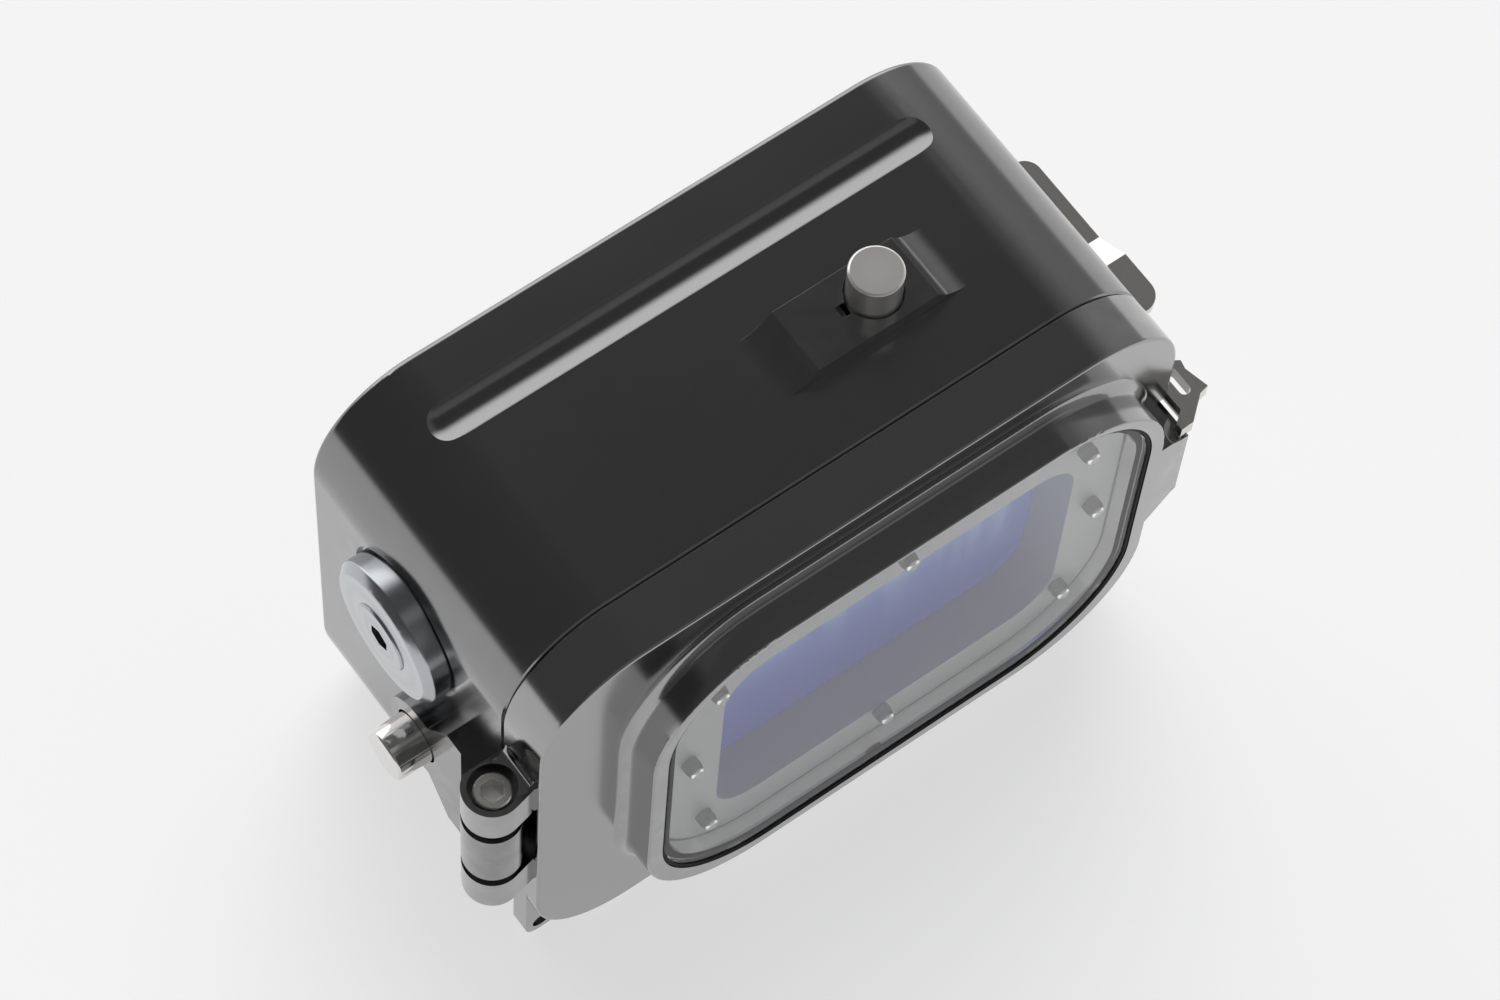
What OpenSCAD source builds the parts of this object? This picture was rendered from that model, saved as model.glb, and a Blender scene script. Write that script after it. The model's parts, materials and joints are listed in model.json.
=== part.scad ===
// Underwater housing for a compact camera: milled body, hinged rear door with
// a window, over-centre side latch and two sealed push buttons.
// X is to the right seen from the door side, Y points to the lens, Z is up.
// The origin is the mouth of the tripod thread in the bottom face.

/* [Body] */
// Width across the two flat sides
body_w = 135.4; // [125:0.1:150]
// Height of the body and of the door
body_h = 102; // [98:0.5:112]
// Depth from the door seam to the front face
body_d = 57; // [50:0.5:75]
// Radius of the four outer corners
corner_r = 21; // [17:0.5:24]
// Thickness of the side, top and bottom walls
side_wall = 6.5; // [6:0.1:8]
// Thickness of the front wall
front_wall = 7; // [6.5:0.1:10]
// Radius along the front edge
front_edge_r = 1.2; // [0.5:0.1:2.5]
// Bevel along both edges of the seam
seam_bevel = 0.4; // [0.2:0.1:0.8]
// Centre height of the hinge, the port and the screen
mid_z = 51; // [50:0.5:54]

/* [Groove in the top] */
// Length of the groove
groove_len = 107.5; // [60:0.5:110]
// Width of the groove at the surface
groove_w = 7.6; // [5:0.1:9]
// Depth of the groove
groove_depth = 1.2; // [0.8:0.1:2]
// Groove centre line, distance from the seam
groove_from_seam = 42.9; // [38:0.1:46]

/* [Raised pad on the top] */
// Height of the raised pad
boss_h = 3.5; // [2.5:0.1:5]
// Left end of the flat part
boss_left = 6.7; // [4:0.1:10]
// Length of the flat part
boss_flat = 25.4; // [20:0.1:34]
// Length of the left ramp
ramp_left = 7.1; // [4:0.1:9]
// Length of the right ramp
ramp_right = 6.7; // [4:0.1:9]
// Rear side of the pad, distance from the seam
boss_from_seam = 13.6; // [10:0.1:15]
// Width of the pad
boss_w = 13.5; // [12.5:0.1:16]

/* [Push buttons] */
// Radius of the top button
top_cap_r = 5; // [4.5:0.05:5.4]
// Height of the top button above the raised pad
top_cap_up = 7.5; // [5:0.1:9]
// Sideways place of the top button
top_button_x = 23.3; // [18:0.1:26]
// Top button centre, distance from the seam
top_button_from_seam = 20.4; // [19:0.1:21]
// Radius of the side button
side_cap_r = 5.1; // [4.6:0.05:5.4]
// Height of the side button above the hinge pad
side_cap_up = 6.9; // [5:0.1:9]
// Side button centre, distance from the seam
side_button_from_seam = 21; // [19:0.1:22]
// Height of the side button centre
side_button_z = 41.3; // [38:0.1:43]
// Gap round a button in its recess
cap_gap = 0.4; // [0.3:0.05:0.6]
// Depth of the recess round a button
recess_depth = 4.4; // [4:0.1:4.8]
// Length of the button's skirt inside its recess
skirt_in = 2.1; // [1.5:0.1:2.4]
// Skirt wall of a button
cap_wall = 0.9; // [0.7:0.05:1.1]
// Thickness of a button's end
cap_end = 2.5; // [2:0.1:3]
// Radius of a button stem
stem_r = 2.5; // [2.2:0.05:2.8]
// Running clearance of a stem in its bore
stem_play = 0.05; // [0.04:0.01:0.08]
// Length of a stem that stands inside the cavity
stem_in = 3.5; // [3:0.1:5]
// Thickness of a stem clip
clip_t = 0.8; // [0.6:0.1:1]
// Radius of a stem clip
clip_r = 4.4; // [4:0.1:5]
// Depth of the clip groove and of the seal groove in a stem
stem_groove = 0.6; // [0.5:0.05:0.7]
// Thickness of the stem seal's round section
stem_seal_t = 1.1; // [0.9:0.05:1.2]
// Width of the square key slot beside the top button
key_slot = 2.4; // [2:0.1:3]

/* [Hinge pad] */
// Height of the pad over the left side
pad_h = 3.6; // [3:0.1:5]
// Radius of the pad's round front end
pad_nose_r = 9.6; // [9:0.1:10.5]
// Centre of the pad's round front end, distance from the seam
pad_nose_from_seam = 19.3; // [19:0.1:21]
// Rear end of the pad, distance from the seam
pad_from_seam = 1.6; // [1.4:0.1:3]
// Place where the upper edge starts to drop, distance from the seam
pad_drop_from_seam = 11.5; // [10:0.1:13]

/* [Hinge] */
// Distance of the hinge axis outside the left side
hinge_out = 5.6; // [5.4:0.05:7]
// Distance of the hinge axis behind the seam
hinge_back = 5.1; // [5:0.05:6]
// Radius of the hinge barrel
barrel_r = 5.5; // [5.3:0.05:6]
// Height of the body's knuckle
knuckle_h = 16.3; // [12:0.1:20]
// Height of one door ear
ear_h = 9; // [8:0.1:11]
// Thickness of a hinge washer
washer_t = 2.4; // [1.5:0.1:3]
// Radius of a hinge washer
washer_r = 4.6; // [4.2:0.1:5]
// Radius of the hinge screw's shank
hinge_pin_r = 2; // [1.8:0.05:2.3]
// Wall of the hinge bush
bush_wall = 1; // [0.8:0.05:1.2]
// Running clearance of the hinge screw
hinge_play = 0.05; // [0.03:0.01:0.08]
// Radius of the hinge screw's head
hinge_head_r = 3.5; // [3.3:0.05:3.6]
// Height of the hinge screw's head
hinge_head_h = 4; // [3.5:0.1:4.2]
// Depth of the head's counterbore in the upper ear
hinge_sink = 5.2; // [4.6:0.1:6.5]
// Gap between the hinge barrel and the door's pocket
barrel_gap = 2; // [1:0.05:2]
// Place where the knuckle's flare leaves the pad, distance from the seam
knuckle_flare = 7.2; // [6.4:0.1:8]
// Radius of the blend above each ear
ear_blend_r = 3; // [2:0.1:4]

/* [Door] */
// Depth of the door's rim
rim_d = 11; // [10.5:0.1:13]
// Depth of the hollow in the door
door_hollow = 6; // [5.5:0.1:6.5]
// Gap at the seam between the door and the body
seam_gap = 0.1; // [0.05:0.05:0.2]
// Radius along the rim's rear edge
rim_edge_r = 0.6; // [0.3:0.1:1.2]
// Height of the window surround behind the rim
bezel_h = 7.7; // [7:0.1:9]
// Width of the window surround
bezel_w = 110.3; // [109.5:0.1:111]
// Height of the window surround's outline
bezel_tall = 89.5; // [89:0.1:90]
// Sideways place of the window surround
bezel_x = 5.75; // [5.5:0.05:6]
// Height of the window surround's centre
bezel_z = 49.65; // [49.4:0.05:49.9]
// Corner radius of the window surround
bezel_r = 26; // [25.5:0.1:27]
// Radius along the surround's outer edge
bezel_edge_r = 0.4; // [0.2:0.1:1]
// Radius of the blend at the surround's foot
bezel_foot_r = 2.3; // [1.5:0.1:2.4]

/* [Window] */
// Width of the window opening
open_w = 104.2; // [103.5:0.1:104.6]
// Height of the window opening
open_h = 86.2; // [85.4:0.1:86.3]
// Sideways place of the window opening
open_x = 5.7; // [5.5:0.05:5.9]
// Height of the window opening's centre
open_z = 50.8; // [50.5:0.05:50.9]
// Corner radius of the window opening
open_r = 25; // [24.5:0.1:26]
// Thickness of the window
window_t = 2.2; // [2:0.1:2.4]
// Depth of the window's seat below the surround's face
window_seat = 2.7; // [2.6:0.1:2.8]
// Width of the seat's ledge
ledge_w = 2.4; // [2.2:0.1:3]
// Gap round the window's edge
window_gap = 0.7; // [0.6:0.05:0.9]
// Thickness of the window seal's round section
window_seal_t = 0.6; // [0.5:0.05:0.6]

/* [Screen frame] */
// Face of the screen frame, depth below the surround's face
frame_sink = 5.9; // [5.6:0.1:6.4]
// Thickness of the screen frame
frame_t = 2.6; // [2:0.1:3]
// Gap round the screen frame
frame_gap = 0.3; // [0.2:0.05:0.5]
// Width of the opening in the screen frame
screen_w = 75.8; // [70:0.1:76]
// Height of the opening in the screen frame
screen_h = 54.6; // [50:0.1:54.8]
// Sideways place of that opening
screen_x = 6.7; // [6:0.1:7]
// Height of that opening's centre
screen_z = 47.5; // [47.4:0.1:48.4]
// Corner radius of that opening
screen_r = 9.5; // [6:0.1:11]
// Thickness of the screen
panel_t = 1.8; // [1.5:0.1:1.8]
// Width of the rebate that holds the screen
panel_lap = 1; // [0.8:0.1:1.2]
// Thickness of the back cover
cover_t = 1.5; // [1.2:0.1:1.6]
// Wall of the screen box round the rebate
box_wall = 3.4; // [3.2:0.1:4]
// Radius of a frame screw's head
frame_head_r = 1.7; // [1.5:0.05:1.9]
// Height of a frame screw's head
frame_head_h = 3.1; // [2.6:0.1:3.1]
// Radius of a frame screw's shank
frame_shank_r = 0.9; // [0.8:0.05:1]
// Thickness of the screen box's flange
flange_t = 2; // [1.6:0.1:2.2]

/* [Latch] */
// Lever pivot, distance outside the right side
pivot_out = 7.6; // [7.4:0.05:8]
// Lever pivot, distance in front of the seam
pivot_from_seam = 8; // [7.8:0.05:8.4]
// Hook pin, distance inboard of the lever pivot
hook_in = 4.5; // [4.3:0.05:4.6]
// Hook pin, distance in front of the lever pivot
hook_ahead = 9; // [8.6:0.05:9.2]
// Top of the lever's raised rear part
lever_top_z = 71.5; // [71:0.1:72.5]
// Height of the step in the lever
lever_step = 4; // [3.6:0.1:4.4]
// Thickness of the lever's plates
lever_t = 2; // [1.6:0.1:2.2]
// Width of the lever
lever_w = 8.2; // [7.8:0.1:8.6]
// Inner edge of the lever, distance outside the right side
lever_out = 2; // [1.7:0.05:2.2]
// Front end of the lever, distance from the seam
lever_front = 42.4; // [38:0.1:46]
// Rear end of the lever, distance from the seam
lever_rear = 3.3; // [3.1:0.1:3.6]
// Radius of the lever pivot
pivot_r = 1.8; // [1.6:0.05:1.9]
// Running clearance of the latch pivots
latch_play = 0.05; // [0.03:0.01:0.08]
// Top of the hook's plate
hook_top_z = 67.5; // [67.2:0.1:67.8]
// Thickness of the hook's plate
hook_t = 3.2; // [2.8:0.1:3.3]
// Depth of the hook's step down to its link
hook_drop = 3.7; // [3.5:0.05:3.8]
// Radius of the hook pin
hook_pin_r = 1.3; // [1.2:0.05:1.4]
// Gap between the latch's flat plates
plate_gap = 0.3; // [0.25:0.05:0.4]
// Clearance of the hook's nose in the door's slot
nose_gap = 0.4; // [0.3:0.05:0.6]
// Depth of the nose slot in the door's side
nose_slot = 2.2; // [2.1:0.1:2.6]

/* [Side plug] */
// Radius of the plug's flange
plug_r = 14.15; // [12:0.05:14.5]
// Height of the plug's flange above the side
plug_up = 5.1; // [4.5:0.1:5.5]
// Bevel round the flange
plug_bevel = 1.5; // [0.8:0.1:2]
// Depth of the spot face under the flange
spot_depth = 0.7; // [0.5:0.05:1]
// Gap round the flange in its spot face
spot_gap = 0.8; // [0.5:0.05:1]
// Plug centre, distance from the seam
plug_from_seam = 28.8; // [27:0.1:34]
// Height of the plug's centre
plug_z = 70.5; // [69:0.1:72]
// Radius of the plug's shank
plug_shank_r = 9; // [8:0.1:9.5]
// Thickness of the plug's nut
plug_nut_t = 3; // [2.5:0.1:4]
// Radius of the raised centre screw
plug_screw_r = 6.75; // [6:0.05:7]
// Height of the raised centre screw
plug_screw_up = 0.4; // [0.4:0.1:1.4]

/* [Front port] */
// Sideways place of the port
port_x = -6; // [-12:0.5:6]
// Radius of the port's round base
port_base_r = 34; // [33:0.1:35]
// Height of the port's base over the front face
port_base_up = 3; // [2:0.1:3.2]
// Radius of the retaining ring
port_ring_r = 31; // [30.5:0.1:31.5]
// Thickness of the retaining ring
port_ring_t = 4; // [3.6:0.1:4.2]
// Radius of the port glass
port_glass_r = 26; // [25:0.1:26.2]
// Thickness of the port glass
port_glass_t = 5; // [4.5:0.1:5.5]
// Radius of the clear bore behind the glass
port_bore_r = 22; // [20:0.1:22.3]

/* [Camera tray and tripod thread] */
// Width of the tray
tray_w = 84; // [70:0.5:92]
// Depth of the tray
tray_d = 38; // [34:0.5:40]
// Thickness of the tray's plate
tray_t = 2.5; // [2:0.1:3]
// Height of the tray's rails
rail_h = 4; // [3.9:0.1:5]
// Width of a rail
rail_w = 9; // [8:0.1:11]
// Radius of the camera screw
camera_screw_r = 3.1; // [3:0.05:3.2]
// Radius of the tripod thread
tripod_r = 3.175; // [3.1:0.005:3.3]
// Depth of the tripod thread
tripod_depth = 5; // [4.5:0.1:5.2]
// Outer radius of the threaded insert
insert_r = 5; // [4.8:0.1:6]

/* [Seals and screws] */
// Width of the main seal's groove
seal_groove_w = 2.4; // [2.2:0.1:2.6]
// Depth of the main seal's groove
seal_groove_d = 1.9; // [1.7:0.05:2]
// Gap between a seal and the side of its groove
seal_side_gap = 0.2; // [0.1:0.05:0.25]
// Thickness of the small seals' round section
small_seal_t = 1.6; // [1.4:0.1:1.8]
// Radius of a small machine screw's shank
screw_r = 1.25; // [1.1:0.05:1.4]
// Radius of a small machine screw's head
screw_head_r = 2.25; // [2.1:0.05:2.4]
// Height of a small machine screw's head
screw_head_h = 1.8; // [1.5:0.1:2]
// Depth of a small machine screw in its part
screw_bite = 4; // [3:0.1:4.4]
// Gap between a fixed shank and its hole
fit_gap = 0.05; // [0.03:0.01:0.08]
// Gap round a head in its counterbore
head_gap = 0.3; // [0.2:0.05:0.5]

/* [Lanyard lug] */
// Thickness of the lug
lug_t = 3.9; // [3:0.1:4.5]
// Front side of the lug, distance behind the seam
lug_back = 3.7; // [3:0.1:4]
// Radius of the lug's hole
lug_hole_r = 1.9; // [1.5:0.05:2]
// Distance of the hole's centre from the lug's two outer sides
lug_hole_in = 3.4; // [3.2:0.05:3.5]
// Corner radius of the lug
lug_corner_r = 3; // [2:0.1:3.4]

/* [Hidden] */
$fn = 48;
over = 1;
seam_y = -body_d / 2;
front_y = body_d / 2;
side_x = body_w / 2;
cav_w = body_w - 2 * side_wall;
cav_h = body_h - 2 * side_wall;
cav_r = corner_r - side_wall;
roof_z = body_h - side_wall;
axis_x = -side_x - hinge_out;
axis_y = seam_y - hinge_back;
knuckle_z0 = mid_z - knuckle_h / 2;
knuckle_z1 = mid_z + knuckle_h / 2;
knuckle_gap = washer_t + seam_gap;
hinge_root = 0.3;
hinge_socket = 2.2;
sink_gap = 0.9;
ear_floor = 1.4;
ear_rear = 1.5;
ear_in = 2;
nose_in = 1.8;
nose_trim = 0.3;
head_bevel = 0.3;
cap_bevel = 0.4;
key_depth = 3;
clip_gap = 0.1;
clip_slot = 2.4;
stem_seal_z = 2;
spring_gap = 0.2;
lug_up = 0.2;
lug_w = 14;
lug_bite = 0.7;
ear_z1 = knuckle_z1 + knuckle_gap;
ear_z0 = knuckle_z0 - knuckle_gap - ear_h;
bush_r = hinge_pin_r + hinge_play + bush_wall;
pad_x = -side_x - pad_h;
pad_y1 = seam_y + pad_from_seam;
pad_low_z = 2 * side_button_z - knuckle_z1;
top_button_y = seam_y + top_button_from_seam;
side_button_y = seam_y + side_button_from_seam;
boss_z = body_h + boss_h;
face_d = rim_d + bezel_h;
seat_d = face_d - window_seat;
in_w = open_w - 2 * ledge_w;
in_h = open_h - 2 * ledge_w;
in_r = open_r - ledge_w;
frame_d = face_d - frame_sink;
box_d = frame_d - frame_t;
frame_w = in_w - 2 * frame_gap;
frame_h = in_h - 2 * frame_gap;
frame_r = in_r - frame_gap;
panel_w = screen_w + 2 * panel_lap;
panel_h = screen_h + 2 * panel_lap;
panel_r = screen_r + panel_lap;
cover_w = panel_w + 2 * box_wall;
cover_h = panel_h + 2 * box_wall;
cover_r = panel_r + box_wall;
cover_d = cover_t + seam_gap * 4;
panel_d = cover_d + panel_t;
flange_d = door_hollow - flange_t;
bezel_band = 10;
flange_w = in_w + 11;
flange_h = in_h + 6.2;
frame_side_up = 1.4;
frame_taper_h = 1.5;
frame_taper = 0.3;
frame_tip = 0.35;
frame_bite = 3;
cover_bite = 1.5;
cover_head_h = 0.9;
frame_corner_x = 39.7;
frame_corner_z = 27;
frame_side_x = 44;
frame_mid_z = 31.8;
box_screw_x = in_w / 2 + 3;
box_screw_z = 20;
cover_screw_x = panel_w / 2 + box_wall / 2 + 0.1;
cover_screw_z = 20;
cover_shank_r = 0.8;
cover_head_r = 1.5;
pivot_x = side_x + pivot_out;
pivot_y = seam_y + pivot_from_seam;
hook_x = pivot_x - hook_in;
hook_y = pivot_y + hook_ahead;
lever_x = side_x + lever_out;
link_top_z = hook_top_z - hook_drop;
link_low_z = link_top_z - hook_t;
lower_top_z = link_low_z - plate_gap;
lower_z = lower_top_z - lever_t;
ear_top_z = lower_z - plate_gap;
base_ear_t = 2.5;
base_t = 2;
base_low_z = 40;
base_w = 13;
base_ear_r = 3.2;
base_screw_z = [44.5, 52.5];
base_screw_back = 2.4;
pin_head_t = 1;
pin_head_w = 0.8;
hook_head_t = 0.8;
hook_head_w = 0.6;
lever_rear_r = 3.9;
lever_front_r = 3.4;
step_rear = 13.6;
step_front = 21.5;
lever_web = 24;
web_t = 2.4;
side_web_t = 1.6;
weld = 0.01;
link_gap = 0.6;
link_w = 4.2;
link_t = 2.5;
link_back = 3;
link_eye_r = 2.5;
hook_slot_r = 1.1;
hook_slot_out = 3.6;
hook_slot_back = 11.4;
hook_slot_len = 3.8;
hook_low_z = hook_top_z - hook_t;
block_top_z = 67;
block_low_z = 43.4;
block_toe_z = 37.1;
block_slant = 7.3;
block_edge = 0.8;
scoop_r = 6;
scoop_in = 1.5;
scoop_back = 6.5;
plug_y = seam_y + plug_from_seam;
plug_screw_d = 6;
plug_screw_shank = 3;
plug_socket_d = 2.6;
plug_socket_r = 2.6;
plug_seal_in = 1.4;
plug_nut_wall = 3;
port_flare = 3;
port_z = mid_z;
port_face_y = front_y + port_base_up;
port_seal_r = (port_bore_r + port_glass_r) / 2;
port_screw_r = (port_glass_r + port_ring_r) / 2 + 0.2;
port_lip_r = port_glass_r - port_flare;
tray_y = -2;
tray_slot = 12;
tray_play = 0.2;
camera_x = -6;
camera_reach = 6;
camera_collar_t = 0.8;
camera_collar_w = 1.6;
camera_knob_t = 3.3;
camera_knob_r = 7.5;
insert_floor = 0.4;
tray_top_z = side_wall + rail_h + tray_t;

// Places a flat drawing (x, height) so that its depth runs rearwards from the seam.
module rearward(depth = 0) {
  translate([0, seam_y - depth, 0]) rotate([90, 0, 0]) children();
}

// Turns a part built along +Z so that it runs to the left.
module leftward(x, y, z) {
  translate([x, y, z]) rotate([0, -90, 0]) children();
}

// Turns a part built along +Z so that it runs to the front.
module forward(x, y, z) {
  translate([x, y, z]) rotate([-90, 0, 0]) children();
}

// Rectangle with round corners, from true arcs.
module rounded_rect(w, h, r) {
  square([w - 2 * r, h], center = true);
  square([w, h - 2 * r], center = true);
  for (sx = [-1, 1], sz = [-1, 1]) translate([sx * (w / 2 - r), sz * (h / 2 - r)]) circle(r);
}

// Straight run of a profile along one side of a rounded rectangle.
module side_run(w, h, r) {
  translate([w / 2 - r, h / 2 - r, 0]) rotate([90, 0, 0]) linear_extrude(h - 2 * r) children();
}

// Quarter turn of a profile round one corner.
module corner_run(w, h, r, turn) {
  rotate([0, 0, turn]) translate([w / 2 - r, h / 2 - r, 0]) rotate_extrude(angle = 90) children();
}

// A profile carried round a rounded rectangle, x measured from the corner's centre.
module swept_band(w, h, r) {
  for (turn = [0, 180]) {
    rotate([0, 0, turn]) side_run(w, h, r) children();
    corner_run(w, h, r, turn) children();
  }
  for (turn = [90, 270]) {
    rotate([0, 0, turn]) side_run(h, w, r) children();
    corner_run(h, w, r, turn) children();
  }
}

// What a round edge takes away from a square corner that points to +x, +y.
module edge_cut(r) {
  difference() {
    square(r + over);
    circle(r);
  }
}

// What a hollow blend adds in a square corner that opens to +x, +y.
module blend_fill(r) {
  difference() {
    square(r);
    translate([r, r]) circle(r);
  }
}

module body_profile() {
  difference() {
    translate([cav_r, -body_d]) square([side_wall, body_d]);
    translate([corner_r - front_edge_r, -body_d + front_edge_r]) mirror([0, 1]) edge_cut(front_edge_r);
    translate([corner_r, 0]) rotate(45) square(seam_bevel * sqrt(2), center = true);
    translate([corner_r - side_wall / 2 - seal_groove_w / 2, -seal_groove_d])
      square([seal_groove_w, over * 3]);
  }
}

module body_shell() {
  translate([0, 0, body_h / 2]) rearward() {
    swept_band(body_w, body_h, corner_r) body_profile();
    translate([0, 0, -body_d]) linear_extrude(front_wall) rounded_rect(cav_w, cav_h, cav_r);
  }
}

module boss_profile() {
  difference() {
    translate([boss_left - ramp_left, -over]) square([ramp_left + boss_flat + ramp_right, boss_h + over]);
    ramp_arc(boss_left - ramp_left, ramp_left);
    ramp_arc(boss_left + boss_flat + ramp_right, ramp_right);
  }
}

// Circle that touches the top face at the toe and passes the edge of the flat.
module ramp_arc(toe, run) {
  arc_r = (run * run + boss_h * boss_h) / (2 * boss_h);
  translate([toe, arc_r]) circle(arc_r);
}

module top_boss() {
  translate([0, seam_y + boss_from_seam + boss_w, body_h]) rotate([90, 0, 0]) linear_extrude(boss_w)
    boss_profile();
}

module groove_cut() {
  cut_r = (groove_w * groove_w / 4 + groove_depth * groove_depth) / (2 * groove_depth);
  run = groove_len - groove_w;
  translate([-run / 2, seam_y + groove_from_seam, body_h + cut_r - groove_depth]) {
    rotate([0, 90, 0]) cylinder(h = run, r = cut_r);
    rotate([0, 90, 0]) sphere(cut_r);
    translate([run, 0, 0]) rotate([0, 90, 0]) sphere(cut_r);
  }
}

module hinge_pad() {
  translate([pad_x, 0, 0]) rotate([90, 0, 90]) linear_extrude(pad_h + over) pad_outline();
  translate([0, 0, knuckle_z0]) linear_extrude(knuckle_h) knuckle_outline();
}

module pad_outline() {
  drop_y = seam_y + pad_drop_from_seam;
  nose_y = seam_y + pad_nose_from_seam;
  translate([nose_y, side_button_z]) circle(pad_nose_r);
  polygon([[pad_y1, pad_low_z], [drop_y, pad_low_z],
    [nose_y - nose_in, side_button_z - pad_nose_r + nose_trim],
    [nose_y - nose_in, side_button_z + pad_nose_r - nose_trim],
    [drop_y, knuckle_z1], [pad_y1, knuckle_z1]]);
}

module knuckle_outline() {
  flare_y = seam_y + knuckle_flare;
  away = sqrt(pow(axis_x - pad_x, 2) + pow(flare_y - axis_y, 2));
  lean = asin(barrel_r / away) - atan((pad_x - axis_x) / (flare_y - axis_y));
  touch = [axis_x - barrel_r * cos(lean), axis_y + barrel_r * sin(lean)];
  root_y = seam_y + hinge_root;
  translate([axis_x, axis_y]) circle(barrel_r);
  polygon([[pad_x, flare_y], touch, [axis_x, axis_y], [axis_x + 2, root_y],
    [-side_x + over, root_y], [-side_x + over, flare_y]]);
}

module port_holes() {
  forward(port_x, front_y - front_wall - over, port_z)
    cylinder(h = front_wall + port_base_up + 2 * over, r = port_bore_r);
  forward(port_x, port_face_y - port_glass_t, port_z)
    cylinder(h = port_glass_t + over, r = port_glass_r + fit_gap);
  forward(port_x, port_face_y - port_glass_t - small_seal_t, port_z) difference() {
    cylinder(h = small_seal_t + over, r = port_seal_r + small_seal_t / 2 + seal_side_gap);
    translate([0, 0, -over])
      cylinder(h = small_seal_t + 3 * over, r = port_seal_r - small_seal_t / 2 - seal_side_gap);
  }
  port_screw_places(port_face_y - screw_bite) cylinder(h = screw_bite + over, r = screw_r + fit_gap);
}

module port_screw_places(y) {
  for (turn = [30:60:330])
    forward(port_x + port_screw_r * cos(turn), y, port_z + port_screw_r * sin(turn)) children();
}

module plug_holes() {
  leftward(-side_x + spot_depth, plug_y, plug_z)
    cylinder(h = spot_depth + pad_h + over, r = plug_r + spot_gap);
  leftward(-cav_w / 2 + over, plug_y, plug_z)
    cylinder(h = side_wall + 2 * over, r = plug_shank_r + fit_gap);
}

// Recess and stem bore of a push button, built outwards from the cavity wall.
module button_holes(wall, cap_r) {
  translate([0, 0, -over]) cylinder(h = wall + 2 * over, r = stem_r + stem_play);
  translate([0, 0, wall - recess_depth]) cylinder(h = recess_depth + over, r = cap_r + cap_gap);
}

module tray_screw_places(z) {
  for (sx = [-1, 1], sy = [-1, 1])
    translate([sx * (tray_w - rail_w) / 2, tray_y + sy * (tray_d / 2 - rail_w / 2), z]) children();
}

module base_screw_places(x) {
  for (z = base_screw_z) translate([x, pivot_y - base_screw_back, z]) rotate([0, 90, 0]) children();
}

module housing_body() {
  color([0.24, 0.24, 0.25]) difference() {
    union() {
      body_shell();
      top_boss();
      hinge_pad();
      forward(port_x, front_y - over, port_z) cylinder(h = port_base_up + over, r = port_base_r);
    }
    groove_cut();
    port_holes();
    plug_holes();
    translate([top_button_x, top_button_y, roof_z]) button_holes(side_wall + boss_h, top_cap_r);
    leftward(-cav_w / 2, side_button_y, side_button_z) button_holes(side_wall + pad_h, side_cap_r);
    translate([top_button_x - top_cap_r - key_slot, top_button_y - key_slot / 2, boss_z - key_depth])
      cube([key_slot + over, key_slot, key_depth + over]);
    translate([axis_x, axis_y, knuckle_z0 - over])
      cylinder(h = knuckle_h + 2 * over, r = bush_r + fit_gap);
    translate([0, 0, -over]) cylinder(h = tripod_depth + over, r = insert_r + fit_gap);
    tray_screw_places(side_wall - screw_bite) cylinder(h = screw_bite + over, r = screw_r + fit_gap);
    base_screw_places(side_x - screw_bite) cylinder(h = screw_bite + over, r = screw_r + fit_gap);
  }
}

module main_seal() {
  seal_r = (seal_groove_w - 2 * seal_side_gap) / 2;
  color([0.03, 0.03, 0.03]) translate([0, 0, body_h / 2]) rearward(-seal_groove_d + seal_r)
    swept_band(body_w, body_h, corner_r) translate([corner_r - side_wall / 2, 0]) circle(seal_r);
}

module front_port_ring() {
  color([0.16, 0.16, 0.17]) difference() {
    forward(port_x, port_face_y, port_z) cylinder(h = port_ring_t, r = port_ring_r);
    forward(port_x, port_face_y - over, port_z) cylinder(h = port_ring_t + 2 * over, r = port_lip_r);
    forward(port_x, port_face_y + port_ring_t / 2, port_z)
      cylinder(h = port_ring_t, r1 = port_lip_r, r2 = port_lip_r + port_flare);
    port_screw_places(port_face_y - over) cylinder(h = port_ring_t + 2 * over, r = screw_r + fit_gap);
    port_screw_places(port_face_y + port_ring_t - screw_head_h)
      cylinder(h = port_ring_t, r = screw_head_r + head_gap);
  }
}

module front_port_glass() {
  color([0.8, 0.87, 0.9]) forward(port_x, port_face_y - port_glass_t, port_z)
    cylinder(h = port_glass_t, r = port_glass_r);
}

module front_port_seal() {
  color([0.03, 0.03, 0.03]) forward(port_x, port_face_y - port_glass_t - small_seal_t / 2, port_z)
    rotate_extrude() translate([port_seal_r, 0]) circle(small_seal_t / 2);
}

// Machine screw with a hexagon socket, head up, the shank below z = 0.
module machine_screw(reach, shank, head, tall) {
  difference() {
    union() {
      translate([0, 0, -reach]) cylinder(h = reach + over / 2, r = shank);
      cylinder(h = tall, r = head);
    }
    translate([0, 0, tall / 2]) cylinder(h = tall, r = head * 0.55, $fn = 6);
  }
}

module front_port_screws() {
  color([0.75, 0.75, 0.76]) port_screw_places(port_face_y + port_ring_t - screw_head_h)
    machine_screw(port_ring_t - screw_head_h + screw_bite, screw_r, screw_head_r, screw_head_h);
}

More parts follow.
